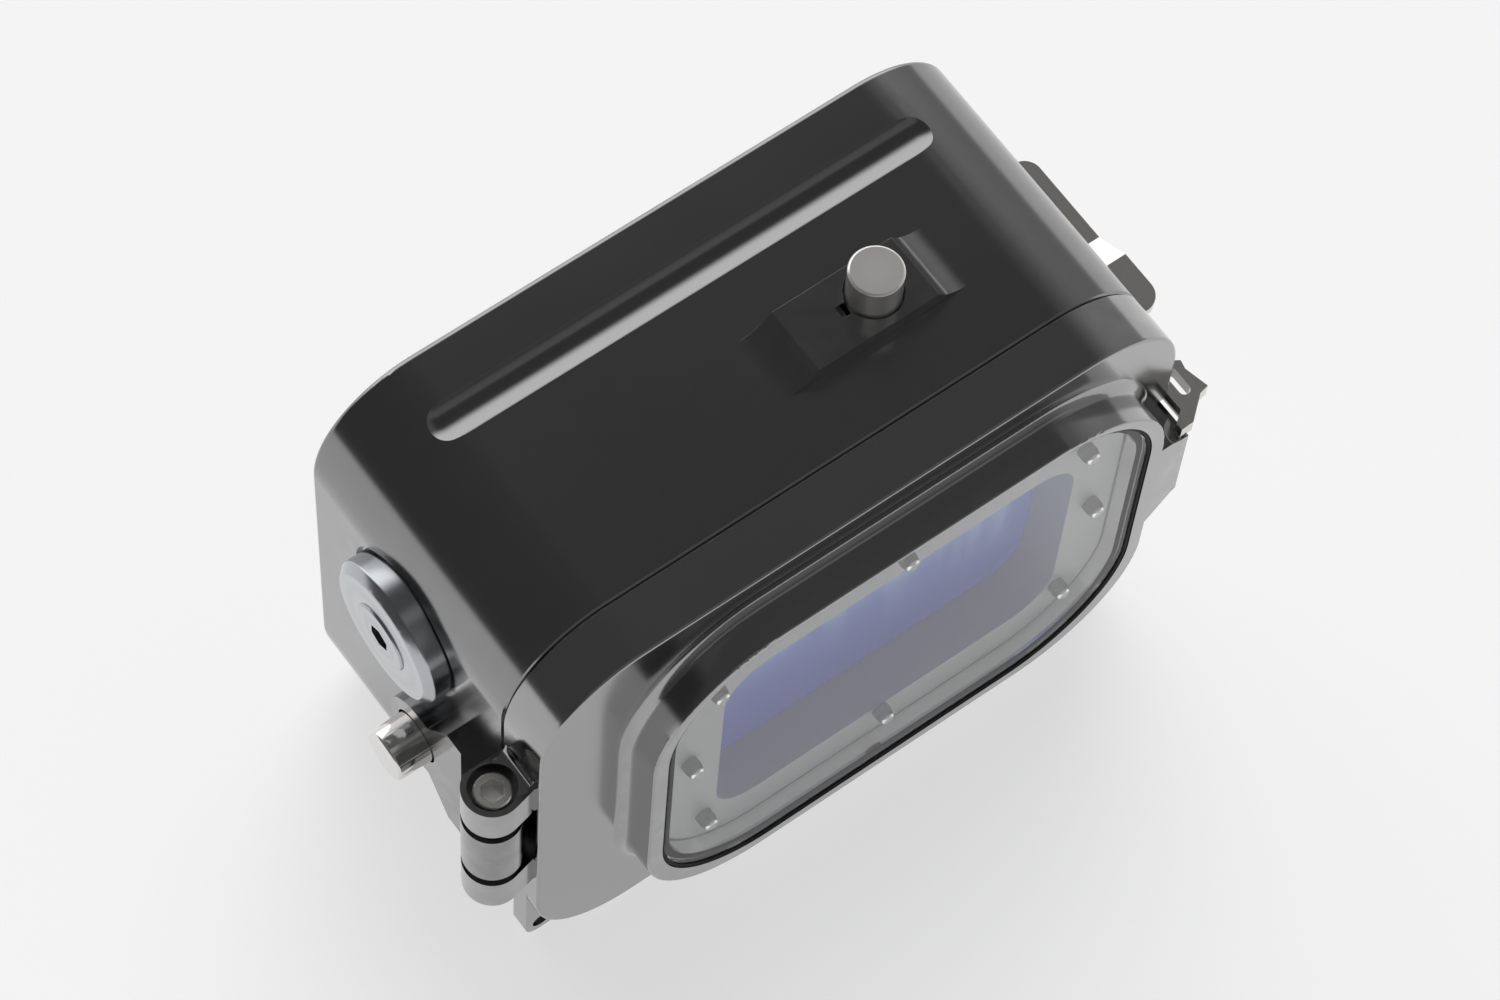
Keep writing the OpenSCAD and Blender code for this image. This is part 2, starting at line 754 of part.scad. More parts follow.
module bulkhead_plug() {
  flange_t_all = spot_depth + plug_up;
  color([0.78, 0.8, 0.81]) leftward(-side_x + spot_depth, plug_y, plug_z) difference() {
    union() {
      cylinder(h = flange_t_all - plug_bevel, r = plug_r);
      translate([0, 0, flange_t_all - plug_bevel])
        cylinder(h = plug_bevel, r1 = plug_r, r2 = plug_r - plug_bevel);
      translate([0, 0, spot_depth - side_wall - plug_nut_t])
        cylinder(h = side_wall + plug_nut_t, r = plug_shank_r);
    }
    translate([0, 0, -over]) difference() {
      cylinder(h = small_seal_t + over, r = plug_shank_r + plug_seal_in + small_seal_t + 2 * seal_side_gap);
      translate([0, 0, -over]) cylinder(h = small_seal_t + 3 * over, r = plug_shank_r + plug_seal_in);
    }
    translate([0, 0, flange_t_all - plug_screw_d])
      cylinder(h = plug_screw_d + over, r = plug_screw_shank + fit_gap);
  }
}

module plug_seal() {
  color([0.03, 0.03, 0.03])
    leftward(-side_x + spot_depth + small_seal_t / 2 - small_seal_t, plug_y, plug_z)
    rotate_extrude() translate([plug_shank_r + plug_seal_in + small_seal_t / 2 + seal_side_gap, 0])
      circle(small_seal_t / 2);
}

module plug_nut() {
  color([0.78, 0.8, 0.81]) leftward(-cav_w / 2 + plug_nut_t, plug_y, plug_z) difference() {
    rotate(30) cylinder(h = plug_nut_t, r = plug_shank_r + plug_nut_wall, $fn = 6);
    translate([0, 0, -over]) cylinder(h = plug_nut_t + 2 * over, r = plug_shank_r + fit_gap);
  }
}

// Round head with a small bevel round its end.
module head_end(tall, r) {
  cylinder(h = tall - head_bevel, r = r);
  translate([0, 0, tall - head_bevel]) cylinder(h = head_bevel, r1 = r, r2 = r - head_bevel);
}

module plug_screw() {
  color([0.8, 0.81, 0.82]) leftward(-side_x - plug_up, plug_y, plug_z) difference() {
    union() {
      head_end(plug_screw_up, plug_screw_r);
      translate([0, 0, -plug_screw_d + 0.2]) cylinder(h = plug_screw_d, r = plug_screw_shank);
    }
    translate([0, 0, plug_screw_up - plug_socket_d])
      cylinder(h = plug_socket_d + over, r = plug_socket_r, $fn = 6);
  }
}

module camera_tray() {
  plate_z = side_wall + rail_h;
  color([0.2, 0.2, 0.21]) difference() {
    union() {
      translate([-tray_w / 2, tray_y - tray_d / 2, plate_z]) cube([tray_w, tray_d, tray_t]);
      for (sx = [-1, 1]) translate([sx * (tray_w - rail_w) / 2, tray_y, side_wall + rail_h / 2])
        cube([rail_w, tray_d, rail_h], center = true);
    }
    for (x = [-tray_slot, tray_slot]) translate([x, tray_y, plate_z - over])
      cylinder(h = tray_t + 2 * over, r = camera_screw_r + tray_play);
    translate([-tray_slot, tray_y - camera_screw_r - tray_play, plate_z - over])
      cube([2 * tray_slot, 2 * (camera_screw_r + tray_play), tray_t + 2 * over]);
    tray_screw_places(side_wall - over) cylinder(h = rail_h + tray_t + 2 * over, r = screw_r + fit_gap);
  }
}

module tray_screws() {
  color([0.75, 0.75, 0.76]) tray_screw_places(tray_top_z)
    machine_screw(rail_h + tray_t + screw_bite, screw_r, screw_head_r, screw_head_h);
}

module camera_screw() {
  color([0.75, 0.75, 0.76]) translate([camera_x, tray_y, 0]) {
    translate([0, 0, tray_top_z]) cylinder(h = camera_collar_t, r = camera_screw_r + camera_collar_w);
    translate([0, 0, side_wall + rail_h - 0.1]) cylinder(h = tray_t + camera_reach, r = camera_screw_r);
    translate([0, 0, side_wall + rail_h - camera_knob_t - 0.1])
      cylinder(h = camera_knob_t, r = camera_knob_r);
  }
}

module tripod_insert() {
  color([0.7, 0.7, 0.71]) difference() {
    cylinder(h = tripod_depth, r = insert_r);
    translate([0, 0, -over]) cylinder(h = tripod_depth - insert_floor + over, r = tripod_r);
  }
}

module hinge_bush() {
  color([0.72, 0.58, 0.3]) translate([axis_x, axis_y, knuckle_z0]) difference() {
    cylinder(h = knuckle_h, r = bush_r);
    translate([0, 0, -over]) cylinder(h = knuckle_h + 2 * over, r = hinge_pin_r + hinge_play);
  }
}

module hinge_screw() {
  head_z = ear_z1 + ear_h - hinge_sink;
  reach = head_z - ear_z0 - ear_floor - 0.1;
  color([0.62, 0.6, 0.58]) translate([axis_x, axis_y, head_z]) difference() {
    union() {
      translate([0, 0, -reach]) cylinder(h = reach + over, r = hinge_pin_r);
      head_end(hinge_head_h, hinge_head_r);
    }
    translate([0, 0, hinge_head_h - hinge_socket])
      cylinder(h = hinge_socket + over, r = hinge_socket, $fn = 6);
  }
}

module hinge_washers() {
  color([0.12, 0.12, 0.12]) for (z = [knuckle_z1 + seam_gap, knuckle_z0 - knuckle_gap])
    translate([axis_x, axis_y, z]) difference() {
    cylinder(h = washer_t, r = washer_r);
    translate([0, 0, -over]) cylinder(h = washer_t + 2 * over, r = hinge_pin_r + hinge_play);
  }
}

// Button cap with its stem, built outwards from the cavity wall.
module push_button(wall, cap_r, up) {
  low = wall - skirt_in;
  top = wall + up;
  difference() {
    union() {
      translate([0, 0, low]) cylinder(h = top - low - cap_bevel, r = cap_r);
      translate([0, 0, top - cap_bevel]) cylinder(h = cap_bevel, r1 = cap_r, r2 = cap_r - cap_bevel);
    }
    translate([0, 0, low - over]) cylinder(h = top - cap_end - low + over, r = cap_r - cap_wall);
  }
  difference() {
    translate([0, 0, -stem_in]) cylinder(h = top - cap_end + stem_in + over, r = stem_r);
    stem_ring(-clip_t - clip_gap, clip_t);
    stem_ring(stem_seal_z, stem_seal_t);
  }
}

// Groove round a stem.
module stem_ring(z, tall) {
  translate([0, 0, z]) difference() {
    cylinder(h = tall, r = stem_r + over);
    translate([0, 0, -over]) cylinder(h = tall + 2 * over, r = stem_r - stem_groove);
  }
}

module stem_seal() {
  ring_r = (stem_r + stem_play + stem_r - stem_groove) / 2;
  sec_r = (stem_play + stem_groove) / 2 - 0.01;
  translate([0, 0, stem_seal_z + stem_seal_t / 2]) rotate_extrude() translate([ring_r, 0]) circle(sec_r);
}

module stem_clip() {
  translate([0, 0, -clip_t - clip_gap]) difference() {
    cylinder(h = clip_t, r = clip_r);
    translate([0, 0, -over]) cylinder(h = clip_t + 2 * over, r = stem_r - stem_groove + 0.02);
    translate([0, -clip_slot / 2, -over]) cube([clip_r + over, clip_slot, clip_t + 2 * over]);
  }
}

// Return spring inside a button, drawn as a plain sleeve.
module return_spring(wall, cap_r, up) {
  floor_z = wall - recess_depth;
  translate([0, 0, floor_z]) difference() {
    cylinder(h = wall + up - cap_end - floor_z, r = cap_r - cap_wall - spring_gap);
    translate([0, 0, -over]) cylinder(h = wall + up, r = stem_r + spring_gap + 0.1);
  }
}

module top_button() {
  color([0.7, 0.69, 0.67]) translate([top_button_x, top_button_y, roof_z])
    push_button(side_wall + boss_h, top_cap_r, top_cap_up);
}

module top_button_spring() {
  color([0.6, 0.6, 0.6]) translate([top_button_x, top_button_y, roof_z])
    return_spring(side_wall + boss_h, top_cap_r, top_cap_up);
}

module top_button_seal() {
  color([0.03, 0.03, 0.03]) translate([top_button_x, top_button_y, roof_z]) stem_seal();
}

module top_button_clip() {
  color([0.7, 0.7, 0.7]) translate([top_button_x, top_button_y, roof_z]) stem_clip();
}

module side_button() {
  color([0.75, 0.73, 0.71]) leftward(-cav_w / 2, side_button_y, side_button_z)
    push_button(side_wall + pad_h, side_cap_r, side_cap_up);
}

module side_button_spring() {
  color([0.6, 0.6, 0.6]) leftward(-cav_w / 2, side_button_y, side_button_z)
    return_spring(side_wall + pad_h, side_cap_r, side_cap_up);
}

module side_button_seal() {
  color([0.03, 0.03, 0.03]) leftward(-cav_w / 2, side_button_y, side_button_z) stem_seal();
}

module side_button_clip() {
  color([0.7, 0.7, 0.7]) leftward(-cav_w / 2, side_button_y, side_button_z) stem_clip();
}

module rim_profile() {
  difference() {
    translate([cav_r, seam_gap]) square([side_wall, rim_d - seam_gap]);
    translate([corner_r - rim_edge_r, rim_d - rim_edge_r]) edge_cut(rim_edge_r);
    translate([corner_r, seam_gap]) rotate(45) square(seam_bevel * sqrt(2), center = true);
  }
}

module bezel_profile() {
  difference() {
    translate([bezel_r - bezel_band, 0]) square([bezel_band, bezel_h]);
    translate([bezel_r - bezel_edge_r, bezel_h - bezel_edge_r]) edge_cut(bezel_edge_r);
  }
  translate([bezel_r, 0]) blend_fill(bezel_foot_r);
}

module bezel_solid() {
  translate([bezel_x, 0, bezel_z]) rearward(rim_d) {
    swept_band(bezel_w, bezel_tall, bezel_r) bezel_profile();
    linear_extrude(bezel_h)
      rounded_rect(bezel_w - 2 * bezel_band, bezel_tall - 2 * bezel_band, bezel_r - bezel_band);
  }
}

// Thick place beside the window that the latch hook reaches round.
module latch_block() {
  rearward(rim_d - over) linear_extrude(bezel_h + over - block_edge) block_outline(0);
  rearward(rim_d - over) linear_extrude(bezel_h + over) block_outline(3 * block_edge);
}

module block_outline(cut) {
  wall_x = bezel_x + bezel_w / 2 - 2;
  polygon([[wall_x, block_toe_z], [side_x - block_slant - cut / 2, block_toe_z],
    [side_x - cut, block_low_z + cut / 2],
    [side_x - cut, block_top_z], [wall_x, block_top_z]]);
}

module ear_outline() {
  front_y = seam_y - hinge_root;
  rear = [-side_x, seam_y - rim_d + ear_rear];
  difference() {
    translate([axis_x, axis_y]) circle(barrel_r);
    translate([axis_x - 2 * barrel_r, front_y]) square([4 * barrel_r, 2 * barrel_r]);
  }
  polygon([[-side_x + ear_in, front_y], [axis_x, front_y], [axis_x, axis_y], ear_touch(rear), rear,
    [-side_x + ear_in, rear[1]]]);
}

// Point where a line from the door's side at p touches the rear of the hinge barrel.
function ear_touch(p) =
  let (dx = axis_x - p[0], dy = axis_y - p[1], far = sqrt(dx * dx + dy * dy))
  let (run = sqrt(far * far - barrel_r * barrel_r) / far, turn = asin(barrel_r / far))
  [p[0] + run * (dx * cos(turn) - dy * sin(turn)), p[1] + run * (dx * sin(turn) + dy * cos(turn))];

module door_ears() {
  for (z = [ear_z0, ear_z1]) translate([0, 0, z]) linear_extrude(ear_h) ear_outline();
  translate([-side_x, seam_y - 1, ear_z1 + ear_h]) rotate([90, 0, 0])
    linear_extrude(rim_d - ear_blend_r) mirror([1, 0]) blend_fill(ear_blend_r);
}

module lanyard_lug() {
  rearward(lug_back) linear_extrude(lug_t) difference() {
    translate([-side_x, lug_up]) square([lug_w, corner_r - lug_up]);
    translate([-side_x + lug_corner_r, lug_up + lug_corner_r]) rotate(180) edge_cut(lug_corner_r);
    translate([-side_x + corner_r, corner_r]) circle(cav_r + lug_bite);
  }
}

module frame_screw_places(depth) {
  translate([open_x, 0, open_z]) rearward(depth) {
    for (sx = [-1, 1], sz = [-1, 1]) translate([sx * frame_corner_x, sz * frame_corner_z, 0]) children();
    for (sx = [-1, 1]) translate([sx * frame_side_x, frame_side_up, 0]) children();
    for (sz = [-1, 1]) translate([0, sz * frame_mid_z, 0]) children();
  }
}

module box_screw_places(depth) {
  translate([open_x, 0, open_z]) rearward(depth) for (sx = [-1, 1], sz = [-1, 0, 1])
    translate([sx * box_screw_x, sz * box_screw_z, 0]) mirror([0, 0, 1]) children();
}

module rear_door() {
  color([0.46, 0.46, 0.47]) difference() {
    union() {
      translate([0, 0, body_h / 2]) rearward() swept_band(body_w, body_h, corner_r) rim_profile();
      translate([0, 0, body_h / 2]) rearward(door_hollow) linear_extrude(rim_d - door_hollow)
        rounded_rect(cav_w, cav_h, cav_r);
      bezel_solid();
      latch_block();
      door_ears();
      lanyard_lug();
    }
    translate([open_x, 0, open_z]) rearward(seat_d) linear_extrude(window_seat + over)
      rounded_rect(open_w, open_h, open_r);
    translate([open_x, 0, open_z]) rearward(door_hollow - over) linear_extrude(seat_d)
      rounded_rect(in_w, in_h, in_r);
    box_screw_places(door_hollow - over) translate([0, 0, -screw_bite - over])
      cylinder(h = screw_bite + over, r = screw_r + fit_gap);
    translate([axis_x, axis_y, ear_z0 + ear_h])
      cylinder(h = ear_z1 - ear_z0 - ear_h, r = barrel_r + barrel_gap);
    translate([axis_x, axis_y, ear_z1 - over]) cylinder(h = ear_h + 2 * over, r = hinge_pin_r + fit_gap);
    translate([axis_x, axis_y, ear_z1 + ear_h - hinge_sink])
      cylinder(h = hinge_sink + over, r = hinge_head_r + sink_gap);
    translate([axis_x, axis_y, ear_z0 + ear_floor]) cylinder(h = ear_h, r = hinge_pin_r + fit_gap);
    translate([-side_x + lug_hole_in, seam_y, lug_hole_in + lug_up]) rotate([90, 0, 0])
      cylinder(h = rim_d, r = lug_hole_r);
    translate([side_x - nose_slot, seam_y - face_d - over, hook_low_z - nose_gap])
      cube([nose_slot + over, face_d + 2 * over, hook_t + 2 * nose_gap]);
    translate([side_x - scoop_in, seam_y - rim_d - scoop_back, block_top_z + scoop_r - 1])
      sphere(scoop_r);
  }
}

module window() {
  color([0.85, 0.9, 0.92]) translate([open_x, 0, open_z]) rearward(seat_d) linear_extrude(window_t)
    rounded_rect(open_w - 2 * window_gap, open_h - 2 * window_gap, open_r - window_gap);
}

module window_seal() {
  color([0.03, 0.03, 0.03]) translate([open_x, 0, open_z]) rearward(face_d - window_seal_t / 2 - 0.15)
    swept_band(open_w, open_h, open_r) translate([open_r - window_gap / 2, 0]) circle(window_seal_t / 2);
}

module screen_frame() {
  color([0.6, 0.6, 0.6]) difference() {
    translate([open_x, 0, open_z]) rearward(box_d) linear_extrude(frame_t)
      rounded_rect(frame_w, frame_h, frame_r);
    translate([screen_x, 0, screen_z]) rearward(box_d - over) linear_extrude(frame_t + 2 * over)
      rounded_rect(screen_w, screen_h, screen_r);
    frame_screw_places(box_d - over) cylinder(h = frame_t + 2 * over, r = frame_shank_r + fit_gap);
  }
}

module screen_frame_screws() {
  color([0.85, 0.85, 0.85]) frame_screw_places(frame_d) {
    translate([0, 0, -frame_t - frame_bite])
      cylinder(h = frame_t + frame_bite + frame_head_h / 2, r = frame_shank_r);
    cylinder(h = frame_head_h - frame_taper_h, r = frame_head_r);
    translate([0, 0, frame_head_h - frame_taper_h])
      cylinder(h = frame_taper_h - frame_tip, r1 = frame_head_r, r2 = frame_head_r - frame_taper);
    translate([0, 0, frame_head_h - frame_tip])
      cylinder(h = frame_tip, r1 = frame_head_r - frame_taper, r2 = frame_head_r - frame_taper - frame_tip);
  }
}

module screen_box() {
  color([0.5, 0.5, 0.5]) difference() {
    union() {
      translate([open_x, 0, open_z]) rearward(flange_d) linear_extrude(box_d - flange_d)
        rounded_rect(frame_w, frame_h, frame_r);
      translate([open_x, 0, open_z]) rearward(flange_d) linear_extrude(flange_t)
        rounded_rect(flange_w, flange_h, in_r);
      translate([screen_x, 0, screen_z]) rearward(cover_d) linear_extrude(box_d - cover_d)
        rounded_rect(cover_w, cover_h, cover_r);
    }
    translate([screen_x, 0, screen_z]) rearward() linear_extrude(face_d)
      rounded_rect(screen_w, screen_h, screen_r);
    translate([screen_x, 0, screen_z]) rearward() linear_extrude(panel_d)
      rounded_rect(panel_w, panel_h, panel_r);
    frame_screw_places(box_d - frame_bite - 0.2)
      cylinder(h = frame_bite + 0.2 + over, r = frame_shank_r + fit_gap);
    box_screw_places(flange_d) translate([0, 0, -flange_t - over])
      cylinder(h = flange_t + 2 * over, r = screw_r + fit_gap);
    cover_screw_places(cover_d + cover_bite + 0.1)
      cylinder(h = cover_bite + 0.1 + over, r = cover_shank_r + fit_gap);
  }
}

module screen_box_screws() {
  color([0.75, 0.75, 0.76]) box_screw_places(flange_d)
    machine_screw(flange_t + screw_bite - 0.2, screw_r, screw_head_r, screw_head_h);
}

module screen_panel() {
  color([0.18, 0.3, 0.62]) translate([screen_x, 0, screen_z]) rearward(cover_d) linear_extrude(panel_t)
    rounded_rect(panel_w - 0.2, panel_h - 0.2, panel_r - 0.1);
}

module cover_screw_places(depth) {
  translate([screen_x, 0, screen_z]) rearward(depth) for (sx = [-1, 1], sz = [-1, 1])
    translate([sx * cover_screw_x, sz * cover_screw_z, 0]) mirror([0, 0, 1]) children();
}

module screen_cover() {
  color([0.3, 0.3, 0.31]) difference() {
    translate([screen_x, 0, screen_z]) rearward(cover_d - cover_t) linear_extrude(cover_t)
      rounded_rect(cover_w, cover_h, cover_r);
    cover_screw_places(cover_d + over) cylinder(h = cover_t + 2 * over, r = cover_shank_r + fit_gap);
  }
}

module screen_cover_screws() {
  color([0.75, 0.75, 0.76]) cover_screw_places(cover_d - cover_t)
    machine_screw(cover_t + cover_bite, cover_shank_r, cover_head_r, cover_head_h);
}

module latch_base() {
  color([0.66, 0.65, 0.64]) difference() {
    union() {
      translate([side_x, seam_y + 1, base_low_z]) cube([base_t, base_w, ear_top_z - base_low_z]);
      translate([0, 0, ear_top_z - base_ear_t]) linear_extrude(base_ear_t) {
        translate([pivot_x, pivot_y]) circle(base_ear_r);
        translate([side_x, pivot_y - base_ear_r]) square([pivot_out, 2 * base_ear_r]);
      }
    }
    translate([pivot_x, pivot_y, ear_top_z - base_ear_t - over])
      cylinder(h = base_ear_t + 2 * over, r = pivot_r + fit_gap);
    base_screw_places(side_x - over) cylinder(h = base_t + 2 * over, r = screw_r + fit_gap);
  }
}

module latch_base_screws() {
  color([0.75, 0.75, 0.76]) base_screw_places(side_x + base_t)
    machine_screw(base_t + screw_bite - 0.2, screw_r, screw_head_r, screw_head_h);
}

module latch_pivot() {
  color([0.7, 0.7, 0.71]) translate([pivot_x, pivot_y, 0]) {
    translate([0, 0, ear_top_z - base_ear_t - pin_head_t])
      cylinder(h = pin_head_t, r = pivot_r + pin_head_w);
    translate([0, 0, ear_top_z - base_ear_t - 0.2])
      cylinder(h = lower_top_z - ear_top_z + base_ear_t + 0.2, r = pivot_r);
  }
}

// Plan of the lever between two distances from the seam, the far end round.
module lever_plan(rear, front, round_r) {
  translate([lever_x, seam_y + rear]) square([lever_w, front - rear - round_r]);
  translate([lever_x + round_r, seam_y + rear]) square([lever_w - 2 * round_r, front - rear]);
  for (x = [lever_x + round_r, lever_x + lever_w - round_r]) translate([x, seam_y + front - round_r])
    circle(round_r);
}

module lever_rear_plan(front) {
  round_r = lever_rear_r;
  translate([lever_x, seam_y + lever_rear + round_r]) square([lever_w, front - lever_rear - round_r]);
  for (x = [lever_x + round_r, lever_x + lever_w - round_r]) translate([x, seam_y + lever_rear + round_r])
    circle(round_r);
}

module latch_lever() {
  low_top = lever_top_z - lever_step;
  step_0 = seam_y + step_rear;
  step_1 = seam_y + step_front;
  web_y = seam_y + lever_web;
  color([0.64, 0.63, 0.61]) difference() {
    union() {
      translate([0, 0, lever_top_z - lever_t]) linear_extrude(lever_t) lever_rear_plan(step_rear);
      translate([0, 0, low_top - lever_t]) linear_extrude(lever_t)
        lever_plan(step_front, lever_front, lever_front_r);
      translate([lever_x, 0, 0]) rotate([90, 0, 90]) linear_extrude(lever_w) polygon([
        [step_0 - weld, lever_top_z - lever_t], [step_0 - weld, lever_top_z], [step_0 + 1, lever_top_z],
        [step_1, low_top], [step_1 + weld, low_top], [step_1 + weld, low_top - lever_t],
        [step_1 - 1, low_top - lever_t]]);
      translate([lever_x, web_y, lower_z]) cube([lever_w, web_t, low_top - lower_z - 1]);
      translate([lever_x + lever_w - side_web_t, web_y, lower_z])
        cube([side_web_t, lever_front - lever_web - lever_front_r, low_top - lower_z - 1]);
      translate([0, 0, lower_z]) linear_extrude(lever_t) lever_rear_plan(lever_web + 0.5);
    }
    translate([pivot_x, pivot_y, lower_z - over])
      cylinder(h = lever_t + 2 * over, r = pivot_r + latch_play);
    translate([hook_x, hook_y, lower_z - over])
      cylinder(h = lever_t + 2 * over, r = hook_pin_r + fit_gap);
  }
}

module hook_plan() {
  polygon([[side_x + 5.5, seam_y - 5.7], [side_x + 6.7, seam_y - 6.5], [side_x + 6.3, seam_y - 8.3],
    [side_x + 7.5, seam_y - 13.3], [side_x + 5.5, seam_y - 13.7], [side_x + 0.9, seam_y - 17.5],
    [side_x - 1.8, seam_y - 17.6], [side_x - 1.8, seam_y - 16], [side_x + 0.5, seam_y - 14.4],
    [side_x + 0.5, seam_y - 0.5], [side_x + 4.9, seam_y - 0.5], [side_x + 4.9, seam_y - 5]]);
}

module latch_hook() {
  link_x = side_x + link_gap;
  color([0.6, 0.59, 0.57]) difference() {
    union() {
      translate([0, 0, hook_low_z]) linear_extrude(hook_t) hook_plan();
      translate([link_x, seam_y - link_back, link_low_z]) cube([link_w, link_t, hook_top_z - link_low_z]);
      translate([0, 0, link_low_z]) linear_extrude(hook_t) {
        translate([hook_x, hook_y]) circle(link_eye_r);
        translate([link_x, seam_y - link_back]) square([link_w, hook_y - seam_y + link_back]);
      }
    }
    translate([hook_x, hook_y, link_low_z - over])
      cylinder(h = hook_t + 2 * over, r = hook_pin_r + latch_play);
    translate([side_x + hook_slot_out, seam_y - hook_slot_back, hook_low_z - over]) {
      for (y = [0, hook_slot_len]) translate([0, y, 0]) cylinder(h = hook_t + 2 * over, r = hook_slot_r);
      translate([-hook_slot_r, 0, 0]) cube([2 * hook_slot_r, hook_slot_len, hook_t + 2 * over]);
    }
  }
}

module latch_hook_pin() {
  color([0.7, 0.7, 0.71]) translate([hook_x, hook_y, 0]) {
    translate([0, 0, lower_z + 0.2]) cylinder(h = link_top_z - lower_z, r = hook_pin_r);
    translate([0, 0, link_top_z + 0.1]) cylinder(h = hook_head_t, r = hook_pin_r + hook_head_w);
  }
}

housing_body();
main_seal();
front_port_ring();
front_port_glass();
front_port_seal();
front_port_screws();
bulkhead_plug();
plug_screw();
plug_seal();
plug_nut();
camera_tray();
tray_screws();
camera_screw();
tripod_insert();
hinge_bush();
hinge_screw();
hinge_washers();
top_button();
top_button_spring();
top_button_seal();
top_button_clip();
side_button();
side_button_spring();
side_button_seal();
side_button_clip();
rear_door();
window();
window_seal();
screen_frame();
screen_frame_screws();
screen_box();
screen_box_screws();
screen_panel();
screen_cover();
screen_cover_screws();
latch_base();
latch_base_screws();
latch_pivot();
latch_lever();
latch_hook();
latch_hook_pin();
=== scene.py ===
"""Finishes, fine detail, studio and camera of an underwater camera housing.

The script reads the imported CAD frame, dresses it and never moves or changes its meshes.
"""

import json
import logging
from collections.abc import Callable
from dataclasses import dataclass, field
from enum import Enum
from math import pi, radians, tau

import bpy
from mathutils import Matrix, Vector

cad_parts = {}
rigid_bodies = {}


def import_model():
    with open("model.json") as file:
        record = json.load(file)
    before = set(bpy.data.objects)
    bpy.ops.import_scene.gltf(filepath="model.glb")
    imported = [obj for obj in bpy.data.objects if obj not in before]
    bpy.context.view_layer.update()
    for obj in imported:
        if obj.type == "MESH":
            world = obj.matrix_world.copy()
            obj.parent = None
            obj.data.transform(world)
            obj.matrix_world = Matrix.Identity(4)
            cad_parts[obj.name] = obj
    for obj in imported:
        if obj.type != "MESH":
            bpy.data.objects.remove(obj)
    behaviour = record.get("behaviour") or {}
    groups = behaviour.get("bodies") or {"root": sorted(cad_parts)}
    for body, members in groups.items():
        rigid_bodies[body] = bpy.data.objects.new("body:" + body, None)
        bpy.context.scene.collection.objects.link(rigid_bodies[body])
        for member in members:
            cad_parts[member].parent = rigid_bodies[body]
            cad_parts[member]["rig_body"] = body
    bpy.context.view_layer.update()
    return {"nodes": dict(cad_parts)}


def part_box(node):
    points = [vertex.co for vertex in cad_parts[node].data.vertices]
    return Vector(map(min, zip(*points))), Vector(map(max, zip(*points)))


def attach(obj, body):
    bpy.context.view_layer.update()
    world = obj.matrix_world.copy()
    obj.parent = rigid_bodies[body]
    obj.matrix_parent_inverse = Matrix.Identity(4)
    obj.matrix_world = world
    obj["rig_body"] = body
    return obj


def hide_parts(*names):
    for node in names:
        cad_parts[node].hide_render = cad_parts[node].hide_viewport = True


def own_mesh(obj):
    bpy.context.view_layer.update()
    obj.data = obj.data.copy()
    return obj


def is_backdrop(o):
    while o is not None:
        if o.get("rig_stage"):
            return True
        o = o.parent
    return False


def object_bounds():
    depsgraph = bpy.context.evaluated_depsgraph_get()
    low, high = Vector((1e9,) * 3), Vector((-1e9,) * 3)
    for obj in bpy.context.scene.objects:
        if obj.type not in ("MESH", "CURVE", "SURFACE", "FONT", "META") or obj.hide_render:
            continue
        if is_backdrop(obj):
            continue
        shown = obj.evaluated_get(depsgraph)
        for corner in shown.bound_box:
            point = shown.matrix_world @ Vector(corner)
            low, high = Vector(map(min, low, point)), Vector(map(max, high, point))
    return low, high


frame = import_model()

# Angles are in degrees. Lengths are in millimetres, or in metres in MERGE and the studio.
MM = 0.001
MERGE = 2e-6
FLAT_ANGLE = 0.4
EDGE_ANGLE = 24.0
SMOOTH_ANGLE = 32.0
RING_DEPTH = 0.0007

Triple = tuple[float, float, float]
Colour = Triple
Span = tuple[float, float]
Piece = bpy.types.Object
Face = bpy.types.MeshPolygon
Tree = bpy.types.NodeTree
Node = bpy.types.Node
Socket = bpy.types.NodeSocket

BARE_METAL = (0.72, 0.71, 0.7)
SCREEN_DEEP = (0.04, 0.05, 0.22)
SCREEN_PALE = (0.1, 0.16, 0.36)
SCREEN_SHAFT = (0.5, 0.62, 0.7)

log = logging.getLogger("housing")


class Surface(Enum):
    """How light leaves a finish."""

    METAL = "metal"
    OPAQUE = "opaque"
    CLEAR = "clear"


class Axis(Enum):
    """The axis that a round piece is turned about, with the turn in radians that lays it on Z."""

    X = (0.0, pi / 2, 0.0)
    Y = (pi / 2, 0.0, 0.0)
    Z = (0.0, 0.0, 0.0)


# Mesh helpers


def rest() -> None:
    """Leaves edit mode and selects nothing."""
    if bpy.context.mode != "OBJECT":
        bpy.ops.object.mode_set(mode="OBJECT")
    bpy.ops.object.select_all(action="DESELECT")


def focus(piece: Piece) -> None:
    """Selects one piece alone and makes it active.

    Args:
        piece: The object that the next operators work on.
    """
    rest()
    piece.select_set(True)
    bpy.context.view_layer.objects.active = piece


def settle(piece: Piece) -> None:
    """Moves a piece's place and turn into its mesh.

    Args:
        piece: The object to settle.
    """
    focus(piece)
    bpy.ops.object.transform_apply(location=True, rotation=True, scale=True)


def apply_modifier(piece: Piece, kind: str, **values: object) -> None:
    """Adds a modifier, sets its values and applies it.

    Args:
        piece: The object to change.
        kind: The modifier's type.
        **values: The modifier's settings.
    """
    focus(piece)
    modifier = piece.modifiers.new(kind.lower(), kind)
    for name, value in values.items():
        setattr(modifier, name, value)
    bpy.ops.object.modifier_apply(modifier=modifier.name)


